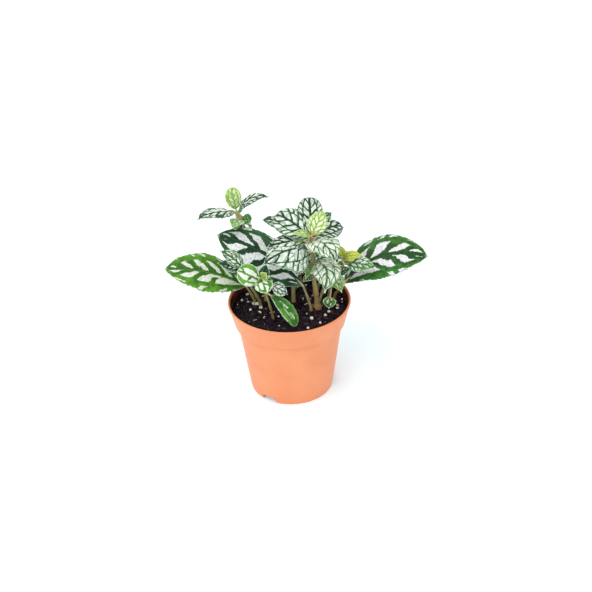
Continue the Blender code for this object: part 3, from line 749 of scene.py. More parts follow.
def leaf_finish(name, look):
    """Green blade with silver patches or cells between its veins."""
    finish = Finish(name + " leaf", 0.42)
    s, v, half = finish.split(finish.attribute("blade"))
    reach = finish.attribute("reach")
    along, across, seed = finish.split(reach)
    phase, cell, tint = finish.split(finish.attribute("habit"))
    out = finish.math("ABSOLUTE", v)
    side = finish.math("GREATER_THAN", v, 0.0)

    # Where a point lies among the cells that the cross veins bound
    sway = finish.less(finish.noise(reach, SWAY_SIZE), 0.5)
    count = finish.less(finish.math("DIVIDE", along, cell), finish.times(out, look.slant))
    count = finish.add(finish.add(count, phase), finish.times(sway, SWAY))
    from_cross = finish.times(finish.times(finish.to_whole(count), cell), CROSS_SHARE)
    from_mid = finish.math("ABSOLUTE", across)
    from_edge = finish.times(finish.rest(out), half)
    from_side = finish.times(finish.math("ABSOLUTE", finish.less(out, look.inner)), half)
    inside = finish.math("LESS_THAN", out, look.inner)
    ragged = finish.times(finish.less(finish.noise(reach, FRINGE_SIZE, 3.0), 0.5), 2 * look.fringe)

    # Inner row, from the midrib to the side vein
    band = look.cross
    if look.stripe:
        on_side = side if look.stripe > 0 else finish.rest(side)
        joined = finish.times(on_side, finish.rest(finish.step(s, *STRIPE_END)))
        band = finish.times(finish.rest(joined), look.cross)
    beyond_side = finish.less(from_side, look.lateral)
    inner = finish.soft_least(finish.less(from_mid, look.mid), finish.less(from_cross, band), INNER_JOIN)
    inner = finish.add(finish.soft_least(inner, beyond_side, INNER_JOIN), ragged)
    inner_patch = finish.times(inside, finish.step(inner, *PATCH_EDGE))

    # Outer row, from the side vein to the margin, with smaller cells
    small = finish.add(finish.times(count, OUTER_RATE), OUTER_SHIFT)
    from_small = finish.times(finish.times(finish.to_whole(small), cell), OUTER_SHARE)
    whole = finish.math("FLOOR", small)
    lot = finish.chance(finish.join(whole, side, finish.math("FLOOR", seed)))
    chosen = finish.math("LESS_THAN", lot, look.outer)
    outer = finish.soft_least(beyond_side, finish.less(from_edge, MARGIN_BAND), OUTER_JOIN)
    outer = finish.soft_least(outer, finish.less(from_small, OUTER_BAND * look.cross), OUTER_JOIN)
    outer = finish.add(outer, ragged)
    outer_patch = finish.times(finish.step(outer, *PATCH_EDGE), finish.rest(inside))
    silver = finish.add(inner_patch, finish.times(outer_patch, chosen))

    # The finest net breaks the cells up
    if look.net:
        slanted = finish.less(along, finish.times(out, finish.times(cell, look.slant)))
        near, far = LINE_EDGE
        from_line = finish.net(finish.join(slanted, across, seed), look.net)
        clear = finish.step(from_line, near * look.line, far * look.line)
        silver = finish.times(silver, finish.rest(finish.times(finish.rest(clear), NET_SHARE)))
    tip = finish.step(s, TIP_START, 1.0)
    silver = finish.times(silver, finish.times(finish.step(s, 0.0, SILVER_FOOT), finish.rest(tip)))

    # Pale margin
    rim = finish.step(finish.add(from_edge, finish.times(ragged, 0.5)), look.rim, 0.5 * look.rim)
    rim = finish.times(rim, finish.step(finish.noise(reach, 4), 0.35, 0.5))

    # Colours
    mottle = finish.noise(reach, 5, 3.0)
    lit = finish.step(finish.add(mottle, finish.times(finish.less(out, 0.5), 0.5)), 0.3, 0.8)
    lit = finish.times(lit, finish.step(s, -0.2, 0.5))
    green = finish.mix(finish.add(lit, tint), look.deep, look.bright)
    on_rib = finish.step(from_mid, 0.75, 0.25)
    green = finish.mix(finish.times(on_rib, 0.8), green, look.rib)
    pale = finish.mix(finish.step(finish.noise(reach, 2.6, 3.0), 0.35, 0.62), look.shade, look.silver)
    colour = finish.mix(silver, green, pale)
    colour = finish.mix(finish.times(rim, 0.8), colour, look.silver)
    colour = finish.mix(finish.step(s, 0.13, 0.0), colour, look.foot)
    colour = finish.mix(finish.times(tip, 0.6), colour, look.silver)
    finish.set("Base Color", colour)
    rough = finish.add(0.36, finish.times(silver, 0.10))
    finish.set("Roughness", finish.add(rough, finish.times(mottle, 0.12)))
    finish.set("Specular IOR Level", LEAF_SHINE)
    grain = finish.times(finish.noise(reach, 0.8, 3.0), 0.35)
    finish.bump(finish.add(finish.times(silver, 0.6), grain), 0.25 * MM)
    return finish.material


def underside_finish(name, dull, pale):
    """The matt paler back of a blade, with its raised veins."""
    finish = Finish(name + " underside", 0.6)
    v = finish.split(finish.attribute("blade"))[1]
    reach = finish.attribute("reach")
    along, across, _ = finish.split(reach)
    phase, cell, _ = finish.split(finish.attribute("habit"))
    out = finish.math("ABSOLUTE", v)
    count = finish.less(finish.math("DIVIDE", along, cell), finish.times(out, BACK_SLANT))
    from_cross = finish.times(finish.to_whole(finish.add(count, phase)), cell)
    from_vein = finish.math("MINIMUM", finish.math("ABSOLUTE", across), from_cross)
    vein = finish.step(from_vein, 0.9, 0.3)
    mottle = finish.noise(reach, 4, 3.0)
    colour = finish.mix(finish.step(mottle, 0.3, 0.7), dull, pale)
    finish.set("Base Color", finish.mix(finish.times(vein, 0.6), colour, pale))
    finish.bump(finish.add(vein, finish.times(finish.noise(reach, 1.2, 3.0), 0.5)), 0.2 * MM)
    return finish.material


def stem_finish(name, bark, node_colour, pale):
    """Olive stems, redder at their joints, with pale leaf stalks."""
    finish = Finish(name, 0.45)
    near, stalk, height = finish.split(finish.attribute("stem"))
    place = finish.place()
    streak = finish.node("Mapping")
    finish.feed(streak.inputs["Vector"], place)
    streak.inputs["Scale"].default_value = (1, 1, 0.12)
    lines = finish.noise(streak.outputs["Vector"], 0.7, 3.0)
    body = finish.mix(finish.step(lines, 0.3, 0.7), [0.72 * part for part in bark], bark)
    foot = finish.step(height, 12, 2)
    body = finish.mix(finish.times(foot, 0.35), body, node_colour)
    body = finish.mix(finish.times(near, 0.7), body, node_colour)
    mottle = finish.step(finish.noise(place, 2.2, 2.0), 0.3, 0.7)
    stalks = finish.mix(mottle, [0.8 * part for part in pale], pale)
    finish.set("Base Color", finish.mix(stalk, body, stalks))
    finish.bump(lines, 0.12 * MM)
    return finish.material


def plastic_finish():
    """Satin moulded plastic, a little marbled, with a painted shade line under its lip step and painted
    shade and soil dust inside.
    """
    finish = Finish("terracotta plastic", 0.42)
    place = finish.place()
    height = finish.split(place)[2]
    cloud = finish.noise(place, 34, 3.0)
    colour = finish.mix(finish.step(cloud, 0.3, 0.7), *PLASTIC)
    # A thin line of painted shade just under the lip band's step
    from_step_shade = finish.math("ABSOLUTE", finish.less(height, LIP_FOOT_HEIGHT / MM - 0.2))
    colour = finish.mix(finish.times(finish.step(from_step_shade, 0.9, 0.2), 0.6), colour, PLASTIC_STEP_SHADE)
    # Painted shade inside the pot, with patches of darker soil dust over it
    inner = finish.value("inner")
    dust_over_shade = finish.step(finish.add(finish.noise(place, 6, 4.0), finish.times(inner, 0.1)), 0.4, 0.62)
    shade = finish.mix(dust_over_shade, *PLASTIC_INSIDE_SHADE_AND_DUST)
    colour = finish.mix(inner, colour, shade)
    finish.set("Base Color", colour)
    finish.set("Roughness", finish.add(0.40, finish.times(finish.noise(place, 3, 3.0), 0.12)))
    finish.set("Specular IOR Level", POT_SHINE)
    finish.bump(finish.noise(place, 0.6, 3.0), 0.03 * MM)
    return finish.material


def soil_finish(name, dark, light, size):
    """Black-brown peat with paler grains of a size in millimetres."""
    finish = Finish(name, 0.85)
    place = finish.place()
    tone = finish.value("tone")
    grain = finish.noise(place, size, 5.0)
    lit = finish.step(finish.add(grain, finish.times(tone, 0.25)), 0.45, 0.85)
    colour = finish.mix(lit, dark, light)
    finish.set("Base Color", colour)
    finish.set("Roughness", finish.less(0.95, finish.times(grain, 0.3)))
    finish.set("Specular IOR Level", SOIL_SHINE)
    finish.bump(finish.noise(place, 0.5 * size, 4.0), 0.3 * MM)
    return finish.material


def perlite_finish():
    """Chalky white grains, a little stained."""
    finish = Finish("perlite", 0.8)
    place = finish.place()
    stain = finish.step(finish.noise(place, 1.1, 3.0), 0.5, 0.8)
    finish.set("Base Color", finish.mix(stain, *PERLITE))
    finish.bump(finish.noise(place, 0.35, 3.0), 0.15 * MM)
    return finish.material


def floor_finish():
    """Plain pale studio floor."""
    finish = Finish("studio floor", 0.9)
    finish.set("Base Color", FLOOR_COLOUR)
    finish.set("Specular IOR Level", 0.0)
    finish.set("Emission Color", FLOOR_GLOW)
    finish.set("Emission Strength", 0.2)
    return finish.material


def settle(piece, slot, *nodes):
    """A finished piece rides on the plant's one body and stands for its nodes."""
    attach(piece, "root")
    if nodes:
        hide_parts(*nodes)
    return piece


def deselect():
    if bpy.context.mode != "OBJECT":
        bpy.ops.object.mode_set(mode="OBJECT")
    bpy.ops.object.select_all(action="DESELECT")


def active(name):
    piece = bpy.context.active_object
    piece.name = name
    piece.data.name = name
    return piece


def apply_all(piece):
    """Applies the piece's modifiers in order."""
    deselect()
    piece.select_set(True)
    bpy.context.view_layer.objects.active = piece
    for modifier in list(piece.modifiers):
        bpy.ops.object.modifier_apply(modifier=modifier.name)


def smooth(piece, angle=50):
    deselect()
    piece.select_set(True)
    bpy.context.view_layer.objects.active = piece
    bpy.ops.object.shade_smooth_by_angle(angle=math.radians(angle))


def join_pieces(name, pieces):
    """Several meshes as one piece."""
    deselect()
    for piece in pieces:
        piece.select_set(True)
    bpy.context.view_layer.objects.active = pieces[0]
    bpy.ops.object.join()
    return active(name)


def vectors(mesh, name, rows):
    """Stores one vector for each point of the mesh."""
    attribute = mesh.attributes.new(name, "FLOAT_VECTOR", "POINT")
    attribute.data.foreach_set("vector", [number for row in rows for number in row])


def values(mesh, name, numbers):
    """Stores one number for each point of the mesh."""
    attribute = mesh.attributes.new(name, "FLOAT", "POINT")
    attribute.data.foreach_set("value", numbers)


def smooth_path(joints, steps):
    """Points along a smooth curve through the joints, with the share of the way to each."""
    joints = [Vector(joint) * MM for joint in joints]
    ends = [2 * joints[0] - joints[1]] + joints + [2 * joints[-1] - joints[-2]]
    path = []
    for index in range(len(joints) - 1):
        before, start, end, after = ends[index : index + 4]
        for step in range(steps):
            t = step / steps
            place = 0.5 * (
                2 * start
                + (end - before) * t
                + (2 * before - 5 * start + 4 * end - after) * t * t
                + (3 * start - before - 3 * end + after) * t ** 3
            )
            path.append((place, (index + t) / (len(joints) - 1)))
    path.append((joints[-1], 1.0))
    return path


def outline(s, size):
    """Half width of a blade, from 0 to 1, at the share s of its length."""
    base_power, tip_power, body = SHAPES[size]
    left = max(0.0, 1 - s / body)
    full = s ** base_power * left ** tip_power
    peak = base_power / (base_power + tip_power)
    full /= (peak * body) ** base_power * (1 - peak) ** tip_power
    return max(full, min(POINT_SLOPE * (1 - s), 0.5 - abs(s - 0.5)))


def leaf_frame(root, leaf):
    """The chord of a leaf, its side and its face, as vectors."""
    chord = Vector(leaf.tip) * MM - root
    side = chord.cross(Vector(leaf.face)).normalized()
    return chord, side, side.cross(chord).normalized()


def midrib(root, leaf, t):
    """A point of the leaf's middle line, from its joint at 0 to its tip at 1."""
    chord, side, face = leaf_frame(root, leaf)
    rise = 4 * t * (1 - t) * MM
    return root + chord * t + face * (rise * leaf.arch) + side * (rise * leaf.bow)


def ease(value, low, high):
    """0 below low, 1 above high, and smooth between them."""
    share = min(1, max(0, (value - low) / (high - low)))
    return share * share * (3 - 2 * share)


def bell(gap, spread):
    """1 at no gap, and close to 0 at twice the spread."""
    return math.exp(-((gap / spread) ** 2))


def seed_of(leaf):
    """A number of a leaf's own, from 0 to 1, worked out from its tip."""
    x, y, z = leaf.tip
    return (0.371 * x + 0.613 * y + 0.197 * z) % 1.0


def habit(v, length, leaf, look):
    """Where the patches of one half of a blade begin, their length, and the blade's tint."""
    seed = seed_of(leaf)
    front, back = look.phases or (seed, seed + SIDE_SHIFT)
    cell = length / look.cells
    tint = TINT_RANGE * (seed - 0.5)
    return (back, cell, tint) if v > 0 else (front, cell * look.ratio, tint)


def relief(s, v, half, length, leaf, look):
    """How far the blade swells between its veins and sinks along them, in millimetres."""
    out = abs(v)
    phase, cell, _ = habit(v, length, leaf, look)
    part = (s * length / cell - look.slant * out + phase) % 1.0
    groove = bell(out * half, MIDRIB_GROOVE)
    cross = bell(min(part, 1 - part) * cell * CROSS_SHARE, VEIN_GROOVE)
    lateral = bell((out - look.inner) * half, VEIN_GROOVE)
    swell = (1 - cross) * (1 - groove) * (1 - lateral)
    calm = 1 - ease(out, CALM_MARGIN, 1.0)
    return (look.swell * swell - VEIN_SINK * look.swell * (cross + lateral)) * calm - MIDRIB_SINK * groove


def add_blade(name, root, leaf, finishes):
    """A blade with teeth, grooved veins and a waved margin."""
    look = LOOKS[leaf.look]
    rows, strips, teeth, bite = GRIDS[leaf.size]
    deselect()
    bpy.ops.mesh.primitive_grid_add(x_subdivisions=rows, y_subdivisions=strips, size=2)
    blade = active(name)
    seed = seed_of(leaf)
    chord, _, up = leaf_frame(root, leaf)
    length = chord.length * (1 - leaf.stalk) / MM
    wide = leaf.width / 2
    fold = math.radians(leaf.fold)
    # The middle line with its side and face, once for each row
    lines = []
    for row in range(rows + 1):
        s = row / rows
        t = leaf.stalk + (1 - leaf.stalk) * s
        ahead = midrib(root, leaf, min(1, t + SIGHT_STEP))
        way = ahead - midrib(root, leaf, max(0, t - SIGHT_STEP))
        side = way.cross(up).normalized()
        face = side.cross(way).normalized()
        half = max(wide * outline(s, leaf.size), LEAST_HALF)
        lines.append((midrib(root, leaf, t), side, face, half))
    marks = []
    reaches = []
    habits = []
    for vert in blade.data.vertices:
        row = round((vert.co.x + 1) / 2 * rows)
        v = -vert.co.y
        s = row / rows
        middle, side, face, half = lines[row]
        ends = ease(s, 0.0, CALM_FOOT) * (1 - ease(s, CALM_TIP, 1.0))
        tooth = ((s * teeth + seed) % 1.0) ** TOOTH_LEAN - 0.5
        edge = ease(abs(v), TOOTH_START, 1.0) * ends
        reach = half * v * (1 + bite * tooth * edge)
        lift = abs(reach) * math.sin(fold) - MARGIN_DROOP * reach * reach / wide
        wave = 0
        for height, rate, shift, lean in WAVES:
            wave += height * math.sin(math.tau * (rate * s + shift * seed) + lean * v)
        lift += WAVE_HEIGHT * wide * wave * ease(abs(v), WAVE_START, 1.0) * ends
        lift += relief(s, v, half, length, leaf, look) * ends
        vert.co = middle + side * (reach * math.cos(fold) * MM) + face * (lift * MM)
        marks.append((s, v, half))
        reaches.append((s * length, reach, SEED_SPREAD * seed))
        habits.append(habit(v, length, leaf, look))
    vectors(blade.data, "blade", marks)
    vectors(blade.data, "reach", reaches)
    vectors(blade.data, "habit", habits)
    for finish in finishes:
        blade.data.materials.append(finish)
    wall = blade.modifiers.new("Thickness", "SOLIDIFY")
    wall.thickness = BLADE
    wall.offset = 0
    wall.material_offset = 1
    wall.material_offset_rim = 0
    apply_all(blade)
    smooth(blade)
    return blade


def tube(name, points, radii, sides):
    """A closed tube through the points, as a mesh with its doubles merged."""
    curve = bpy.data.curves.new(name, "CURVE")
    curve.dimensions = "3D"
    curve.bevel_depth = 1
    curve.bevel_resolution = sides // 2 - 2
    curve.use_fill_caps = True
    spline = curve.splines.new("POLY")
    spline.points.add(len(points) - 1)
    for point, place, radius in zip(spline.points, points, radii):
        point.co = (*place, 1)
        point.radius = radius
    guide = bpy.data.objects.new(name, curve)
    bpy.context.scene.collection.objects.link(guide)
    bpy.context.view_layer.update()
    graph = bpy.context.evaluated_depsgraph_get()
    mesh = bpy.data.meshes.new_from_object(guide.evaluated_get(graph))
    bpy.data.objects.remove(guide)
    shape = bmesh.new()
    shape.from_mesh(mesh)
    bmesh.ops.remove_doubles(shape, verts=shape.verts, dist=1e-6)
    bmesh.ops.recalc_face_normals(shape, faces=shape.faces)
    shape.to_mesh(mesh)
    shape.free()
    made = bpy.data.objects.new(name, mesh)
    bpy.context.scene.collection.objects.link(made)
    return made


def to_nearest(place, joints):
    """Distance to the nearest joint, or a metre where there is none."""
    return min([(joint - place).length for joint in joints] + [1.0])


def mark_tube(piece, joints, knobs, paleness):
    """Stores how near each point is to a joint, how pale it is, and its height over the soil."""
    rows = []
    for vert in piece.data.vertices:
        near = bell(to_nearest(vert.co, joints), JOINT_TINT_SPREAD)
        pale = paleness
        for place, _, spread, colour in knobs:
            close = bell((Vector(place) * MM - vert.co).length, KNOB_TINT_REACH * spread * MM)
            if colour == "cream":
                pale = max(pale, close)
            else:
                near = max(near, close)
        rows.append((near, pale, (vert.co.z - SOIL_HEIGHT) / MM))
    vectors(piece.data, "stem", rows)


def add_stem(name, branch, knobs):
    """A stem with swollen joints."""
    path = smooth_path(branch.joints, STEM_STEPS)
    spans = len(branch.joints) - 1
    joints = [Vector(joint) * MM for joint in branch.joints[2:-1]]
    radii = []
    for place, share in path:
        swell = JOINT_SWELL * bell(to_nearest(place, joints), JOINT_SPREAD)
        swell += STEM_WAVE * math.sin(STEM_WAVE_RATE * share * spans)
        swell += FOOT_FLARE * bell(place.z - SOIL_HEIGHT, FOOT_SPREAD)
        radius = (branch.thick + (branch.slim - branch.thick) * share) * (1 + swell)
        for centre, extra, spread, _ in knobs:
            radius += extra * bell((Vector(centre) * MM - place).length, spread * MM)
        radii.append(radius * MM)
    piece = tube(name, [place for place, _ in path], radii, STEM_SIDES)
    mark_tube(piece, joints, knobs, 0.0)
    return piece


def add_stalk(name, root, leaf, thick):
    """A leaf's stalk, which runs on under the blade as the ridge of its midrib."""
    face = leaf_frame(root, leaf)[2]
    bare = max(leaf.stalk, RIDGE_START)
    path = []
    radii = []
    for step in range(RIDGE_STEPS + 1):
        t = RIDGE_END * step / RIDGE_STEPS
        under = ease(t, bare, bare + RIDGE_EASE)
        radius = thick * (1 - under) + RIDGE_SHARE * thick * under * (1 - t)
        radius = max(radius, RIDGE_LEAST)
        sink = under * (RIDGE_SINK + RIDGE_SINK_SHARE * radius)
        path.append(midrib(root, leaf, t) - face * (sink * MM))
        radii.append(radius * MM)
    piece = tube(name, path, radii, STALK_SIDES)
    mark_tube(piece, [], [], 1.0)
    return piece


def add_scales(name, root, way, thick, count=2):
    """The dry scales that sit round a joint, as a pair or more."""
    pieces = []
    for index in range(count):
        turn = SCALE_TURN + math.tau * index / count
        deselect()
        bpy.ops.mesh.primitive_cone_add(
            vertices=SCALE_SIDES, radius1=SCALE_RADIUS, radius2=0, depth=SCALE_LENGTH
        )
        scale = active(name)
        across = way.orthogonal().normalized()
        across.rotate(Matrix.Rotation(turn, 3, way))
        lean = (way + across * SCALE_LEAN).normalized()
        turned = Vector((0, 0, 1)).rotation_difference(lean).to_matrix().to_4x4()
        flat = Matrix.Diagonal((1, SCALE_FLATNESS, 1, 1))
        spot = Matrix.Translation(root + across * thick + lean * SCALE_RISE * MM)
        scale.data.transform(spot @ turned @ flat)
        scale.location = (0, 0, 0)
        vectors(scale.data, "stem", [SCALE_MARK] * len(scale.data.vertices))
        pieces.append(scale)
    return pieces


def grow(node, branches, slot, skin):
    """One node's stem piece, and one blade for each of its leaves."""
    parts = []
    blades = []
    for order, branch in enumerate(branches):
        knobs = KNOBS.get(node, []) if order == 0 else []
        parts.append(add_stem(node + "_stem", branch, knobs))
        leaves = branch.leaves + (LEAFLETS.get(node, []) if order == 0 else [])
        for leaf in leaves:
            root = Vector(branch.joints[leaf.joint]) * MM
            parts.append(add_stalk(node + "_stalk", root, leaf, STALKS.get(leaf.size, branch.slim)))
            blades.append((root, leaf))
        if len(branch.joints) > UNSCALED_POINTS:
            for index in sorted({leaf.joint for leaf in branch.leaves}):
                root = Vector(branch.joints[index]) * MM
                way = (root - Vector(branch.joints[index - 1]) * MM).normalized()
                parts += add_scales(node + "_scale", root, way, branch.slim * MM)
    if node in CROWNS:
        place, far, count = CROWNS[node]
        parts += add_scales(node + "_scale", Vector(place) * MM, Vector(UP), far * MM, count)
    stem = join_pieces(node + "_stem", parts)
    stem.data.materials.append(skin)
    smooth(stem, 60)
    settle(stem, slot, node)
    for index, (root, leaf) in enumerate(blades):
        blade = add_blade(f"{node}_blade_{index + 1}", root, leaf, [looks[leaf.look], backs[leaf.look]])
        settle(blade, slot, node)


def grow_tip(node, tip, skin):
    """A short bud on its stem's end with the youngest leaves."""
    branch = LEAFY_STEMS[tip.stem][0]
    path = smooth_path(branch.joints, 2)
    way = (path[-1][0] - path[-2][0]).normalized()
    start = path[-1][0] - way * BUD_OVERLAP
    end = path[-1][0] + way * (tip.height * MM + GAP)
    joints = [tuple(start / MM), tuple(end / MM)]
    grow(node, [Branch(joints, BUD_SHARE * branch.slim, BUD_END, tip.leaves)], "young_leaf", skin)


def pot_radius(height):
    """Outer radius of the pot's wall below its lip."""
    return BASE_RADIUS + (BODY_TOP_RADIUS - BASE_RADIUS) * height / LIP_FOOT_HEIGHT


def lip_inside(height):
    """Inner radius of the pot's lip band."""
    foot = LIP_FOOT_HEIGHT + WALL
    share = (height - foot) / (POT_HEIGHT - BEAD_HEIGHT - foot)
    return LIP_FOOT_RADIUS - WALL + (RIM_RADIUS - BEAD_STEP - LIP_FOOT_RADIUS) * share


def arc(centre_radius, centre_height, radius, start, end, steps):
    """Points of a round edge in the pot's profile, from one angle to another."""
    points = []
    for step in range(steps + 1):
        angle = math.radians(start + (end - start) * step / steps)
        across = centre_radius + radius * math.cos(angle)
        points.append((across, centre_height + radius * math.sin(angle)))
    return points


def raise_rings(profile):
    """Extrudes the selected ring through the profile's points of radius and height."""
    radius, height = profile[0]
    for next_radius, next_height in profile[1:]:
        bpy.ops.mesh.extrude_region_move()
        ratio = next_radius / radius
        bpy.ops.transform.resize(value=(ratio, ratio, 1), center_override=(0, 0, 0))
        bpy.ops.transform.translate(value=(0, 0, next_height - height))
        radius, height = next_radius, next_height


def make_pot(finish):
    """The moulded pot: foot, wall, lip band and bead, then the same way down inside."""
    bead_foot = POT_HEIGHT - BEAD_HEIGHT
    lip_top = RIM_RADIUS - BEAD_STEP
    floor_top = FLOOR_HEIGHT + WALL
    ledge = LIP_FOOT_HEIGHT + WALL
    ring = BASE_RADIUS - FOOT_WIDTH
    outer = [(PAD_RADIUS - SOFT_EDGE, 0), (PAD_RADIUS + PAD_SLANT, SOFT_EDGE)]
    outer += [(PAD_RADIUS + WALL, FLOOR_HEIGHT), (ring - EDGE_SLANT, FLOOR_HEIGHT)]
    outer += [(ring, SOFT_EDGE), (ring + EDGE_SLANT, 0)]
    outer += arc(BASE_RADIUS - SOFT_EDGE, SOFT_EDGE, SOFT_EDGE, -90, 0, 3)
    outer += [(BASE_RADIUS + FOOT_BAND_STEP, FOOT_BAND_HEIGHT)]
    outer += [(pot_radius(share * LIP_FOOT_HEIGHT), share * LIP_FOOT_HEIGHT) for share in WALL_RINGS]
    outer += [(BODY_TOP_RADIUS, LIP_FOOT_HEIGHT - EDGE_SLANT)]
    outer += [(BODY_TOP_RADIUS + EDGE_SLANT, LIP_FOOT_HEIGHT)]
    outer += arc(LIP_FOOT_RADIUS - SOFT_EDGE, LIP_FOOT_HEIGHT + SOFT_EDGE, SOFT_EDGE, -90, 0, 4)
    outer += [(0.5 * (LIP_FOOT_RADIUS + lip_top), 0.5 * (LIP_FOOT_HEIGHT + bead_foot))]
    outer += [(lip_top, bead_foot - LIP_SLANT[0]), (lip_top + LIP_SLANT[1], bead_foot)]
    outer += arc(RIM_RADIUS - SOFT_EDGE, bead_foot + SOFT_EDGE, SOFT_EDGE, -60, 0, 3)
    outer += arc(RIM_RADIUS - BEAD_ROUND, POT_HEIGHT - BEAD_ROUND, BEAD_ROUND, 0, 180, 9)
    inner = [(lip_inside(height * MM), height * MM) for height in LIP_RINGS]
    inner += [(LIP_FOOT_RADIUS - WALL, ledge + LEDGE_SLANT[0])]
    inner += [(LIP_FOOT_RADIUS - WALL - LEDGE_SLANT[0], ledge)]
    inner += [(BODY_TOP_RADIUS - WALL, ledge - LEDGE_SLANT[1])]
    inner += [(pot_radius(floor_top) - WALL, floor_top + MM)]
    inner += [(pot_radius(floor_top) - WALL - MM, floor_top)]
    inner += [(PAD_RADIUS + CHANNEL_FOOT, floor_top), (PAD_RADIUS - WALL, WALL)]
    profile = outer + inner
    deselect()
    bpy.ops.mesh.primitive_circle_add(vertices=POT_SIDES, radius=profile[0][0], fill_type="NGON")
    pot = active("nursery_pot")
    bpy.ops.object.mode_set(mode="EDIT")
    bpy.ops.mesh.select_all(action="DESELECT")
    bpy.ops.mesh.select_mode(type="EDGE")
    bpy.ops.mesh.select_all(action="SELECT")
    bpy.ops.mesh.region_to_loop()
    raise_rings(profile)
    bpy.ops.mesh.edge_face_add()
    bpy.ops.mesh.select_all(action="SELECT")
    bpy.ops.mesh.normals_make_consistent(inside=False)
    bpy.ops.object.mode_set(mode="OBJECT")
    cut = []
    for azimuth in NOTCH_AZIMUTHS:
        angle = math.radians(azimuth)
        deselect()
        bpy.ops.mesh.primitive_cube_add(size=1)
        notch = active("notch")
        size = Matrix.Diagonal((NOTCH_DEPTH, NOTCH_WIDTH, 2 * NOTCH_HEIGHT, 1))
        turn = Matrix.Rotation(angle, 4, "Z")
        spot = Matrix.Translation((BASE_RADIUS * math.cos(angle), BASE_RADIUS * math.sin(angle), 0))
        notch.data.transform(spot @ turn @ size)
        rounded = notch.modifiers.new("Corners", "BEVEL")
        rounded.width = NOTCH_CORNER
        rounded.segments = 3
        apply_all(notch)
        cut.append(notch)
    for index in range(DRAIN_HOLES):
        angle = math.tau * (index + 0.5) / DRAIN_HOLES
        deselect()
        bpy.ops.mesh.primitive_cylinder_add(vertices=32, radius=DRAIN_RADIUS, depth=DRAIN_CUT)
        hole = active("drain_hole")
        middle = (DRAIN_RING * math.cos(angle), DRAIN_RING * math.sin(angle), FLOOR_HEIGHT + WALL / 2)
        hole.data.transform(Matrix.Translation(middle))
        cut.append(hole)
    for cutter in cut:
        opening = pot.modifiers.new("Opening", "BOOLEAN")
        opening.operation = "DIFFERENCE"
        opening.solver = "EXACT"
        opening.object = cutter
    apply_all(pot)
    for cutter in cut:
        bpy.data.objects.remove(cutter)
    # Marks where the inside's painted shade and soil dust lie
    inside = []
    for vert in pot.data.vertices:
        radius = math.hypot(vert.co.x, vert.co.y)
        height = vert.co.z
        wall = lip_inside(height) if height > ledge else pot_radius(height) - WALL
        hidden = radius < wall + INSIDE_REACH and height > floor_top - FLOOR_REACH
        inside.append(1.0 if hidden and height < POT_HEIGHT - RIM_REACH else 0.0)
    values(pot.data, "inner", inside)
    pot.data.materials.append(finish)
    smooth(pot, 35)
    return settle(pot, "pot_plastic", "pot")


def soil_lift(x, y):
    """Height of the lumps on the soil above its mean surface."""
    place = Vector((x, y, 0)) / LUMP_SIZE
    fine = noise.noise(place * FINE_RATE + Vector((7, 3, 1)))
    radius = math.hypot(x, y) / RIM_RADIUS
    lumps = LUMP_HEIGHT * (noise.noise(place) + FINE_SHARE * fine)
    return lumps + SOIL_CROWN * (1 - radius * radius)


def stem_feet():
    """Place and radius of each stem where it stands in the soil, in millimetres."""
    branches = list(SINGLE_LEAVES.values()) + [stem[0] for stem in LEAFY_STEMS.values()]
    return [(branch.joints[0][0], branch.joints[0][1], branch.thick) for branch in branches]


def roughness_at(place, kind, shift=(0, 0, 0)):
    """One kind of lumps at a place in millimetres, by their size and height."""
    size, height = kind
    return height * noise.noise(place / size + Vector(shift))


def soil_top(x, y):
    """Height of the crumbly surface, in metres, at a place in metres."""
    place = Vector((x, y, 0)) / MM
    crumbly = roughness_at(place, GRIT) + roughness_at(place, SAND, (5, 9, 2))
    rise = crumbly + abs(roughness_at(place, CLODS, (1, 4, 8))) - CLOD_SINK
    for foot_x, foot_y, thick in stem_feet():
        gap = math.hypot(x / MM - foot_x, y / MM - foot_y)
        if gap < HEAP_REACH:
            rise += HEAP_HEIGHT * bell(gap - thick, HEAP_SPREAD)
    return SOIL_HEIGHT + soil_lift(x, y) + rise * MM


def make_soil(finish):
    """Dark lumpy soil that fills the pot."""
    side_top = SOIL_HEIGHT - SIDE_DROP
    edge = lip_inside(side_top) - GAP
    ledge = LIP_FOOT_HEIGHT + WALL + GAP
    floor = FLOOR_HEIGHT + WALL + GAP
    deselect()
    bpy.ops.mesh.primitive_grid_add(x_subdivisions=SOIL_GRID, y_subdivisions=SOIL_GRID, size=2)
    soil = active("potting_soil")
    tones = []
    for vert in soil.data.vertices:
        x, y = vert.co.x, vert.co.y
        # A square's point moves to a round one at the same distance from the rim
        far = max(abs(x), abs(y))
        stretch = far / math.hypot(x, y) if far > 0 else 0
        stretch = 1 + (stretch - 1) * far ** 2
        x, y = x * stretch * edge, y * stretch * edge
        near_edge = ease(math.hypot(x, y), edge - SIDE_EASE, edge)
        vert.co = (x, y, soil_top(x, y) * (1 - near_edge) + (side_top + SIDE_RISE) * near_edge)
        tones.append(0.5 + 0.5 * noise.noise(Vector((x, y, 0)) / TONE_SIZE))
    bpy.ops.object.mode_set(mode="EDIT")
    bpy.ops.mesh.select_mode(type="EDGE")
    bpy.ops.mesh.select_all(action="SELECT")
    bpy.ops.mesh.region_to_loop()
    raise_rings(
        [
            (edge, side_top + SIDE_RISE),
            (lip_inside(ledge) - GAP, ledge),
            (BODY_TOP_RADIUS - WALL - GAP, ledge),
            (pot_radius(floor) - WALL - GAP, floor),
            (PAD_RADIUS + CHANNEL_FOOT - GAP, floor),
            (PAD_RADIUS - WALL - GAP, WALL + GAP),
        ]
    )
    bpy.ops.mesh.edge_face_add()
    bpy.ops.mesh.select_all(action="SELECT")
    bpy.ops.mesh.normals_make_consistent(inside=False)
    bpy.ops.object.mode_set(mode="OBJECT")
    tones += [0.5] * (len(soil.data.vertices) - len(tones))
    values(soil.data, "tone", tones)
    soil.data.materials.append(finish)
    soil.data.shade_smooth()
    return settle(soil, "potting_soil", "soil")


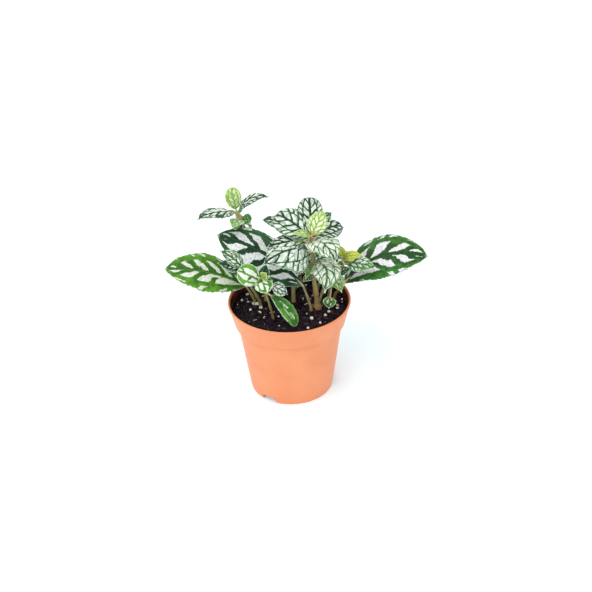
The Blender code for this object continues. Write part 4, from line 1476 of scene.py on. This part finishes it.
def lump(name, subdivisions, roughness, seed):
    """One rough lump of about one millimetre radius, to be copied."""
    deselect()
    bpy.ops.mesh.primitive_ico_sphere_add(subdivisions=subdivisions, radius=1)
    made = active(name)
    for vert in made.data.vertices:
        push = noise.noise(vert.co * 1.3 + Vector((seed, 0, 0)))
        push += 0.5 * noise.noise(vert.co * 3.1 + Vector((0, seed, 0)))
        vert.co *= 1 + roughness * push
    return made


def strew(name, lumps, places, slot, finish):
    """Copies of the lumps at places of x, y, radius, flatness and sink, as one piece."""
    dice = random.Random(len(places))
    shape = bmesh.new()
    tones = []
    for x, y, radius, flat, sink in places:
        source = dice.choice(lumps)
        spin = dice.uniform(0, math.tau)
        axis = (dice.random(), dice.random(), 0.3 + dice.random())
        turn = Matrix.Rotation(spin, 4, axis)
        width = radius * dice.uniform(LEAST_WIDTH, 1)
        size = Matrix.Diagonal((radius * MM, width * MM, radius * flat * MM, 1))
        lean = Matrix.Rotation(dice.uniform(-MOST_LEAN, MOST_LEAN), 4, "X")
        height = soil_top(x * MM, y * MM) + (0.5 - sink) * radius * MM
        spot = Matrix.Translation((x * MM, y * MM, height))
        before = len(shape.verts)
        shape.from_mesh(source.data)
        shape.verts.ensure_lookup_table()
        added = shape.verts[before:]
        bmesh.ops.transform(shape, matrix=spot @ lean @ size @ turn, verts=added)
        tones += [dice.random()] * len(added)
    mesh = bpy.data.meshes.new(name)
    shape.to_mesh(mesh)
    shape.free()
    values(mesh, "tone", tones)
    mesh.materials.append(finish)
    piece = bpy.data.objects.new(name, mesh)
    bpy.context.scene.collection.objects.link(piece)
    for source in lumps:
        bpy.data.objects.remove(source)
    return settle(piece, slot, "soil")


def clear_of_stems(x, y, radius):
    """Whether a crumb of a radius lies beside every stem, in millimetres."""
    return all(math.hypot(x - fx, y - fy) > thick + 0.8 * radius for fx, fy, thick in stem_feet())


def strewn_places(dice, count, small, large, flat, sink):
    """Random places over the soil, more small ones than large."""
    reach = lip_inside(SOIL_HEIGHT) / MM - 2
    places = []
    while len(places) < count:
        angle = dice.uniform(0, math.tau)
        far = (reach - large) * math.sqrt(dice.random())
        radius = small + (large - small) * dice.random() ** SMALL_SHARE_POWER
        x, y = far * math.cos(angle), far * math.sin(angle)
        if clear_of_stems(x, y, radius):
            places.append((x, y, radius, flat * dice.uniform(0.7, 1.2), sink))
    return places


def make_crumbs(finish):
    """Loose crumbs of peat."""
    dice = random.Random(4)
    lumps = [lump(f"crumb {index}", 2, 0.55, 3.7 * index) for index in range(5)]
    return strew("soil_crumbs", lumps, strewn_places(dice, *CRUMBS), "potting_soil", finish)


def make_perlite(finish):
    """The larger grains at their places, and small ones strewn between them."""
    dice = random.Random(9)
    lumps = [lump(f"grain {index}", 2, 0.4, 1.9 * index) for index in range(4)]
    places = [
        (x, y, SEEN_GRAIN_SWELL * radius, SEEN_GRAIN_FLATNESS, SEEN_GRAIN_SINK)
        for x, y, radius in GRAINS
    ]
    places += strewn_places(dice, *STREWN_GRAINS)
    return strew("perlite_grains", lumps, places, "potting_soil", finish)


def make_stage():
    """A pale floor, even light with a soft key from the upper left, and the camera."""
    deselect()
    bpy.ops.mesh.primitive_plane_add(size=FLOOR_SIZE)
    floor = active("floor")
    floor.data.materials.append(floor_finish())
    scene = bpy.context.scene
    scene.view_settings.view_transform = "Standard"
    world = bpy.data.worlds.new("studio")
    scene.world = world
    world.use_nodes = True
    sky = world.node_tree.nodes["Background"]
    sky.inputs["Color"].default_value = (1, 1, 1, 1)
    sky.inputs["Strength"].default_value = SKY_STRENGTH
    for name, place, spread, power in SUNS:
        lamp = bpy.data.lights.new(name, "SUN")
        lamp.angle = math.radians(spread)
        lamp.energy = power
        holder = bpy.data.objects.new(name, lamp)
        scene.collection.objects.link(holder)
        holder.location = place
        holder.rotation_euler = (-Vector(place)).to_track_quat("-Z", "Y").to_euler()
    data = bpy.data.cameras.new("camera")
    data.lens = LENS
    data.sensor_width = SENSOR
    camera = bpy.data.objects.new("camera", data)
    scene.collection.objects.link(camera)
    tilt = math.radians(CAMERA_TILT)
    back = Vector((0, -math.cos(tilt), math.sin(tilt)))
    turn = Matrix.Rotation(math.pi / 2 - tilt, 4, "X")
    roll = Matrix.Rotation(math.radians(CAMERA_ROLL), 4, "Z")
    spot = (Vector(CAMERA_TARGET) + back * CAMERA_DISTANCE) * MM
    camera.matrix_world = Matrix.Translation(spot) @ (turn @ roll)
    scene.camera = camera


make_stage()
looks = {name: leaf_finish(name, look) for name, look in LOOKS.items()}
underside = {name: underside_finish(name, *colours) for name, colours in UNDERSIDE.items()}
backs = {}
for name in LOOKS:
    kind = "lime" if "lime" in name else "patched" if "patched" in name else "netted"
    backs[name] = underside[kind]
skin = stem_finish("stem skin", *STEM_SKIN)
young_skin = stem_finish("young stem skin", *YOUNG_SKIN)

make_pot(plastic_finish())
make_soil(soil_finish("peat", *PEAT, 2.4))
make_crumbs(soil_finish("peat crumbs", *PEAT_CRUMBS, 1.6))
make_perlite(perlite_finish())
for node, branch in SINGLE_LEAVES.items():
    grow(node, [branch], "silver_patched_leaf", skin)
for node, branches in LEAFY_STEMS.items():
    grow(node, branches, "netted_leaf", skin)
for node, tip in YOUNG_TIPS.items():
    grow_tip(node, tip, young_skin)

deselect()
